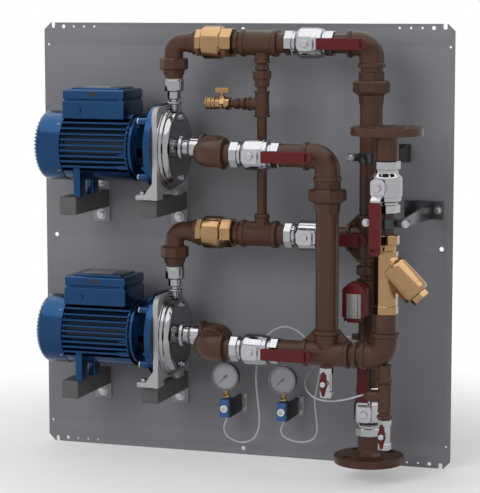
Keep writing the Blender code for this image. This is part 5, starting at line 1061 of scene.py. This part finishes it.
def gauge(order, x):
    z, dial_y = -297, -81
    case = [(60, 24), (60, 28.5), (78, 28.5), (79, 31.5), (86, 31.5), (86, 28.6), (81.4, 28.4), (80.6, 24)]
    shells = placed((x, 0, z), "-Y", lathe(case, 80, ring=True, edge=0.6), rod(26, 60.4, 80.4, 64))
    make(order + "_gauge_case", shells, dark_nickel, stands_for=[order + "_gauge"])
    stem = lathe([(-42, 5.5), (-36, 5.5), (-36, 7.2), (-30, 7.2), (-28, 5)], 32)
    make(order + "_gauge_stem", [put(stem, (x, switch_y, z))], satin_brass)
    dial, glass = placed((x, 0, z), "-Y", rod(28.4, 80.3, 80.9, 80, 0.1), rod(28.3, 85, 85.7, 64, 0.2))
    make(order + "_gauge_dial", [dial], dial_sheet)
    spots = [(u, dial_y, v) for u, v in arc((x, z), 24.5, 225, -45, 27)]
    sizes = {"Stroke length": 2.6 * mm, "Stroke width": 0.4 * mm, "Centre": (x * mm, dial_y * mm, z * mm)}
    grown(order + "_gauge_strokes", strokes, spots, sizes, black_abs)
    make(order + "_gauge_window", [glass], gauge_glass)
    pointer = [(-7, -1.4), (-3, -1.5), (22, -0.6), (22, 0.6), (-3, 1.5), (-7, 1.4)]
    hand = put(cut_sheet(pointer, 1, edge=0.2), (0, -2.2, 0), "-Y")
    hand = put(swung(hand, "Y", -225), (x, -81.3, z))
    hub = put(rod(3.2, 0, 3.4, 32, 0.4), (x, -81.3, z), "-Y")
    needle = order + "_gauge_needle"
    make(order + "_pointer", [hand, hub], black_abs, needle + "_body", [needle])


def pressure_switch(order, x):
    top, bottom, face_y = -347.3, -389.3, -90
    name = order + "_switch"
    case = [block((x - 10.5, face_y, bottom), (x + 10.5, -56, top), 2.2)]
    for rib_z in range(5):
        z = bottom + 5 + rib_z * 8
        case.append(block((x - 10.9, -91, z), (x - 8, -60, z + 4), 0.8, 2))
    make(name + "_case", case, blue_abs, stands_for=[order + "_pressure_switch"])
    middle = (top + bottom) / 2
    ring = [(-1, 4.8), (-1, 8.5), (3.6, 8.5), (5, 7.6), (5, 4.8)]
    knob = lathe(ring, 48, ring=True, edge=0.4)
    knob, screw = placed((x, face_y, middle), "-Y", knob, rod(4.9, -1, 3, 32, 0.4))
    make(name + "_knob", [knob], pale_abs)
    slit = block((x - 4, -93.6, middle - 0.7), (x + 4, -92, middle + 0.7), 0.2)
    make(name + "_screw", [screw, slit], zinc_steel)
    make(name + "_fitting", [put(nut(7.5, -1, 8, 6, 0.8), (x, switch_y, top))], satin_brass)
    spout = put(lathe([(-4, 3.4), (-2, 4.5), (2, 4.5)], 32), (x, switch_y, bottom))
    make(name + "_spout", [spout], pale_abs)
    strap = block((x + 10.2, face_y, bottom + 1), (x + 13.5, -4.5, top - 1), 0.6)
    make(name + "_cover", [strap], black_abs)
    foot = block((x + 10.6, -6.3, bottom - 1), (x + 27, wall_y, top + 1), 0.6)
    make(name + "_foot", [foot], bare_plate)
    bolt_heads(name + "_screws", [(x + 20, -6.3, z) for z in (top - 8, bottom + 8)], 3.4, 1.6)


mounting_plate()
for level_name, height in levels.items():
    support_arms(level_name, height)
for level_name, height in levels.items():
    motor_housing(level_name, height)
    fan_cowl(level_name, height)
    lantern(level_name, height)
    foot_plate(level_name, height)
    pump_casing(level_name, height)
    discharge_bend(level_name, height)
    check_valve(level_name, height)
    suction_offset(level_name, height)
    ball_valve(level_name + "_discharge_valve", (200.5, axis_y, height + line_rise), 0)
    ball_valve(level_name + "_suction_valve", (122, suction_y, height), 0)
link_pipe()
drain_cock()
riser()
flow_switch()
ball_valve("outlet_valve", (riser_x, axis_y, -338), -90)
ball_valve("inlet_valve", (inlet_x, suction_y, 161), 90, -10)
pipe_flange("outlet_flange", riser_x, axis_y, -453, 61.2, "Z")
pipe_flange("inlet_flange", inlet_x, suction_y, 286, 71.2, "-Z")
manifold()
strainer()
small_valve("right_small_valve", inlet_x, -325)
small_valve("left_small_valve", drop_x, -222)
pipe_clamp("riser_clamp", (riser_x, axis_y, 209), pipe, 48, 18, 52, 42)
pipe_clamp("inlet_clamp", (inlet_x, suction_y, 86), 19, 32, -30, 56, 46)
for order_name, gauge_x in (("first", -16), ("second", 118)):
    gauge(order_name, gauge_x)
    pressure_switch(order_name, gauge_x)

# Inner pieces keep their solids
for name, finish in (("rotor", rotor_steel), ("check_poppet", satin_brass)):
    for level_name in levels:
        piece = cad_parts[level_name + "_" + name]
        piece.data.materials.clear()
        piece.data.materials.append(finish)


# Floor, light and sky
def clear_rays(tree):
    """One for the rays of the camera, of gloss and of glass, which all see the white background."""
    light_path = add(tree, "ShaderNodeLightPath").outputs
    seen = figure(tree, "MAXIMUM", light_path["Is Camera Ray"], light_path["Is Glossy Ray"])
    return figure(tree, "MAXIMUM", seen, light_path["Is Transmission Ray"])


def floor():
    """A pale floor that keeps the object's shadow near it and fades to white further out."""
    bpy.ops.mesh.primitive_plane_add(size=60, location=(0, 0, -0.4915))
    ground = bpy.context.object
    ground.name = "floor"
    material, tree, shader, spot = new_material("white_floor")
    shader.inputs["Roughness"].default_value = 0.7
    tones = mixed(tree, noise(tree, spot, 30), linear("#F6F6F6"), linear("#FBFBFB"))
    tree.links.new(tones, shader.inputs["Base Color"])
    distance = add(tree, "ShaderNodeVectorMath", links={0: spot}, operation="LENGTH").outputs["Value"]
    reach = {"From Min": 0.35, "From Max": 1.3, "To Min": 0.28}
    fade = ranged(tree, distance, reach, interpolation_type="SMOOTHSTEP")
    glow = add(tree, "ShaderNodeEmission", {"Color": (1, 1, 1, 1)})
    share = figure(tree, "MULTIPLY", fade, clear_rays(tree))
    links = {0: share, 1: shader.outputs[0], 2: glow.outputs[0]}
    mix = add(tree, "ShaderNodeMixShader", links=links)
    tree.links.new(mix.outputs[0], tree.nodes["Material Output"].inputs["Surface"])
    ground.data.materials.append(material)


def soft_box(name, place, aim, size, power):
    data = bpy.data.lights.new(name, "AREA")
    data.shape = "RECTANGLE"
    data.size, data.size_y = size
    data.energy = power
    lamp = bpy.data.objects.new(name, data)
    lamp.location = place
    lamp.rotation_euler = (Vector(aim) - Vector(place)).to_track_quat("-Z", "Y").to_euler()
    lamp.visible_glossy = False
    bpy.context.scene.collection.objects.link(lamp)


def sky():
    """White to the camera, gloss and glass, brighter overhead for gloss; soft grey light for the rest."""
    world = bpy.data.worlds.new("studio")
    world.use_nodes = True
    bpy.context.scene.world = world
    tree = world.node_tree
    background = tree.nodes["Background"]
    spot = add(tree, "ShaderNodeTexCoord").outputs["Generated"]
    height = add(tree, "ShaderNodeSeparateXYZ", links={0: spot}).outputs["Z"]
    rise = ranged(tree, height, {"From Min": -1.0, "From Max": 1.0})
    shell = mixed(tree, rise, (0.2, 0.2, 0.2, 1), (0.34, 0.34, 0.34, 1))
    tree.links.new(mixed(tree, clear_rays(tree), shell, (1, 1, 1, 1)), background.inputs["Color"])
    panel = ranged(tree, height, {"From Min": 0.66, "From Max": 0.69, "To Max": 1.3})
    gloss = add(tree, "ShaderNodeLightPath").outputs["Is Glossy Ray"]
    extra = figure(tree, "MULTIPLY", panel, gloss)
    tree.links.new(figure(tree, "ADD", extra, 1.0), background.inputs["Strength"])


floor()
soft_box("key", (-1.0, -3.8, 1.6), (0, -0.1, 0), (2.2, 2.0), 104)
soft_box("fill", (2.1, -3.3, 0.0), (0, -0.1, -0.1), (1.8, 2.2), 46)
soft_box("top", (0.2, -1.2, 2.6), (0, -0.2, 0), (2.2, 1.0), 5)
sky()
bpy.context.scene.view_settings.view_transform = "Standard"
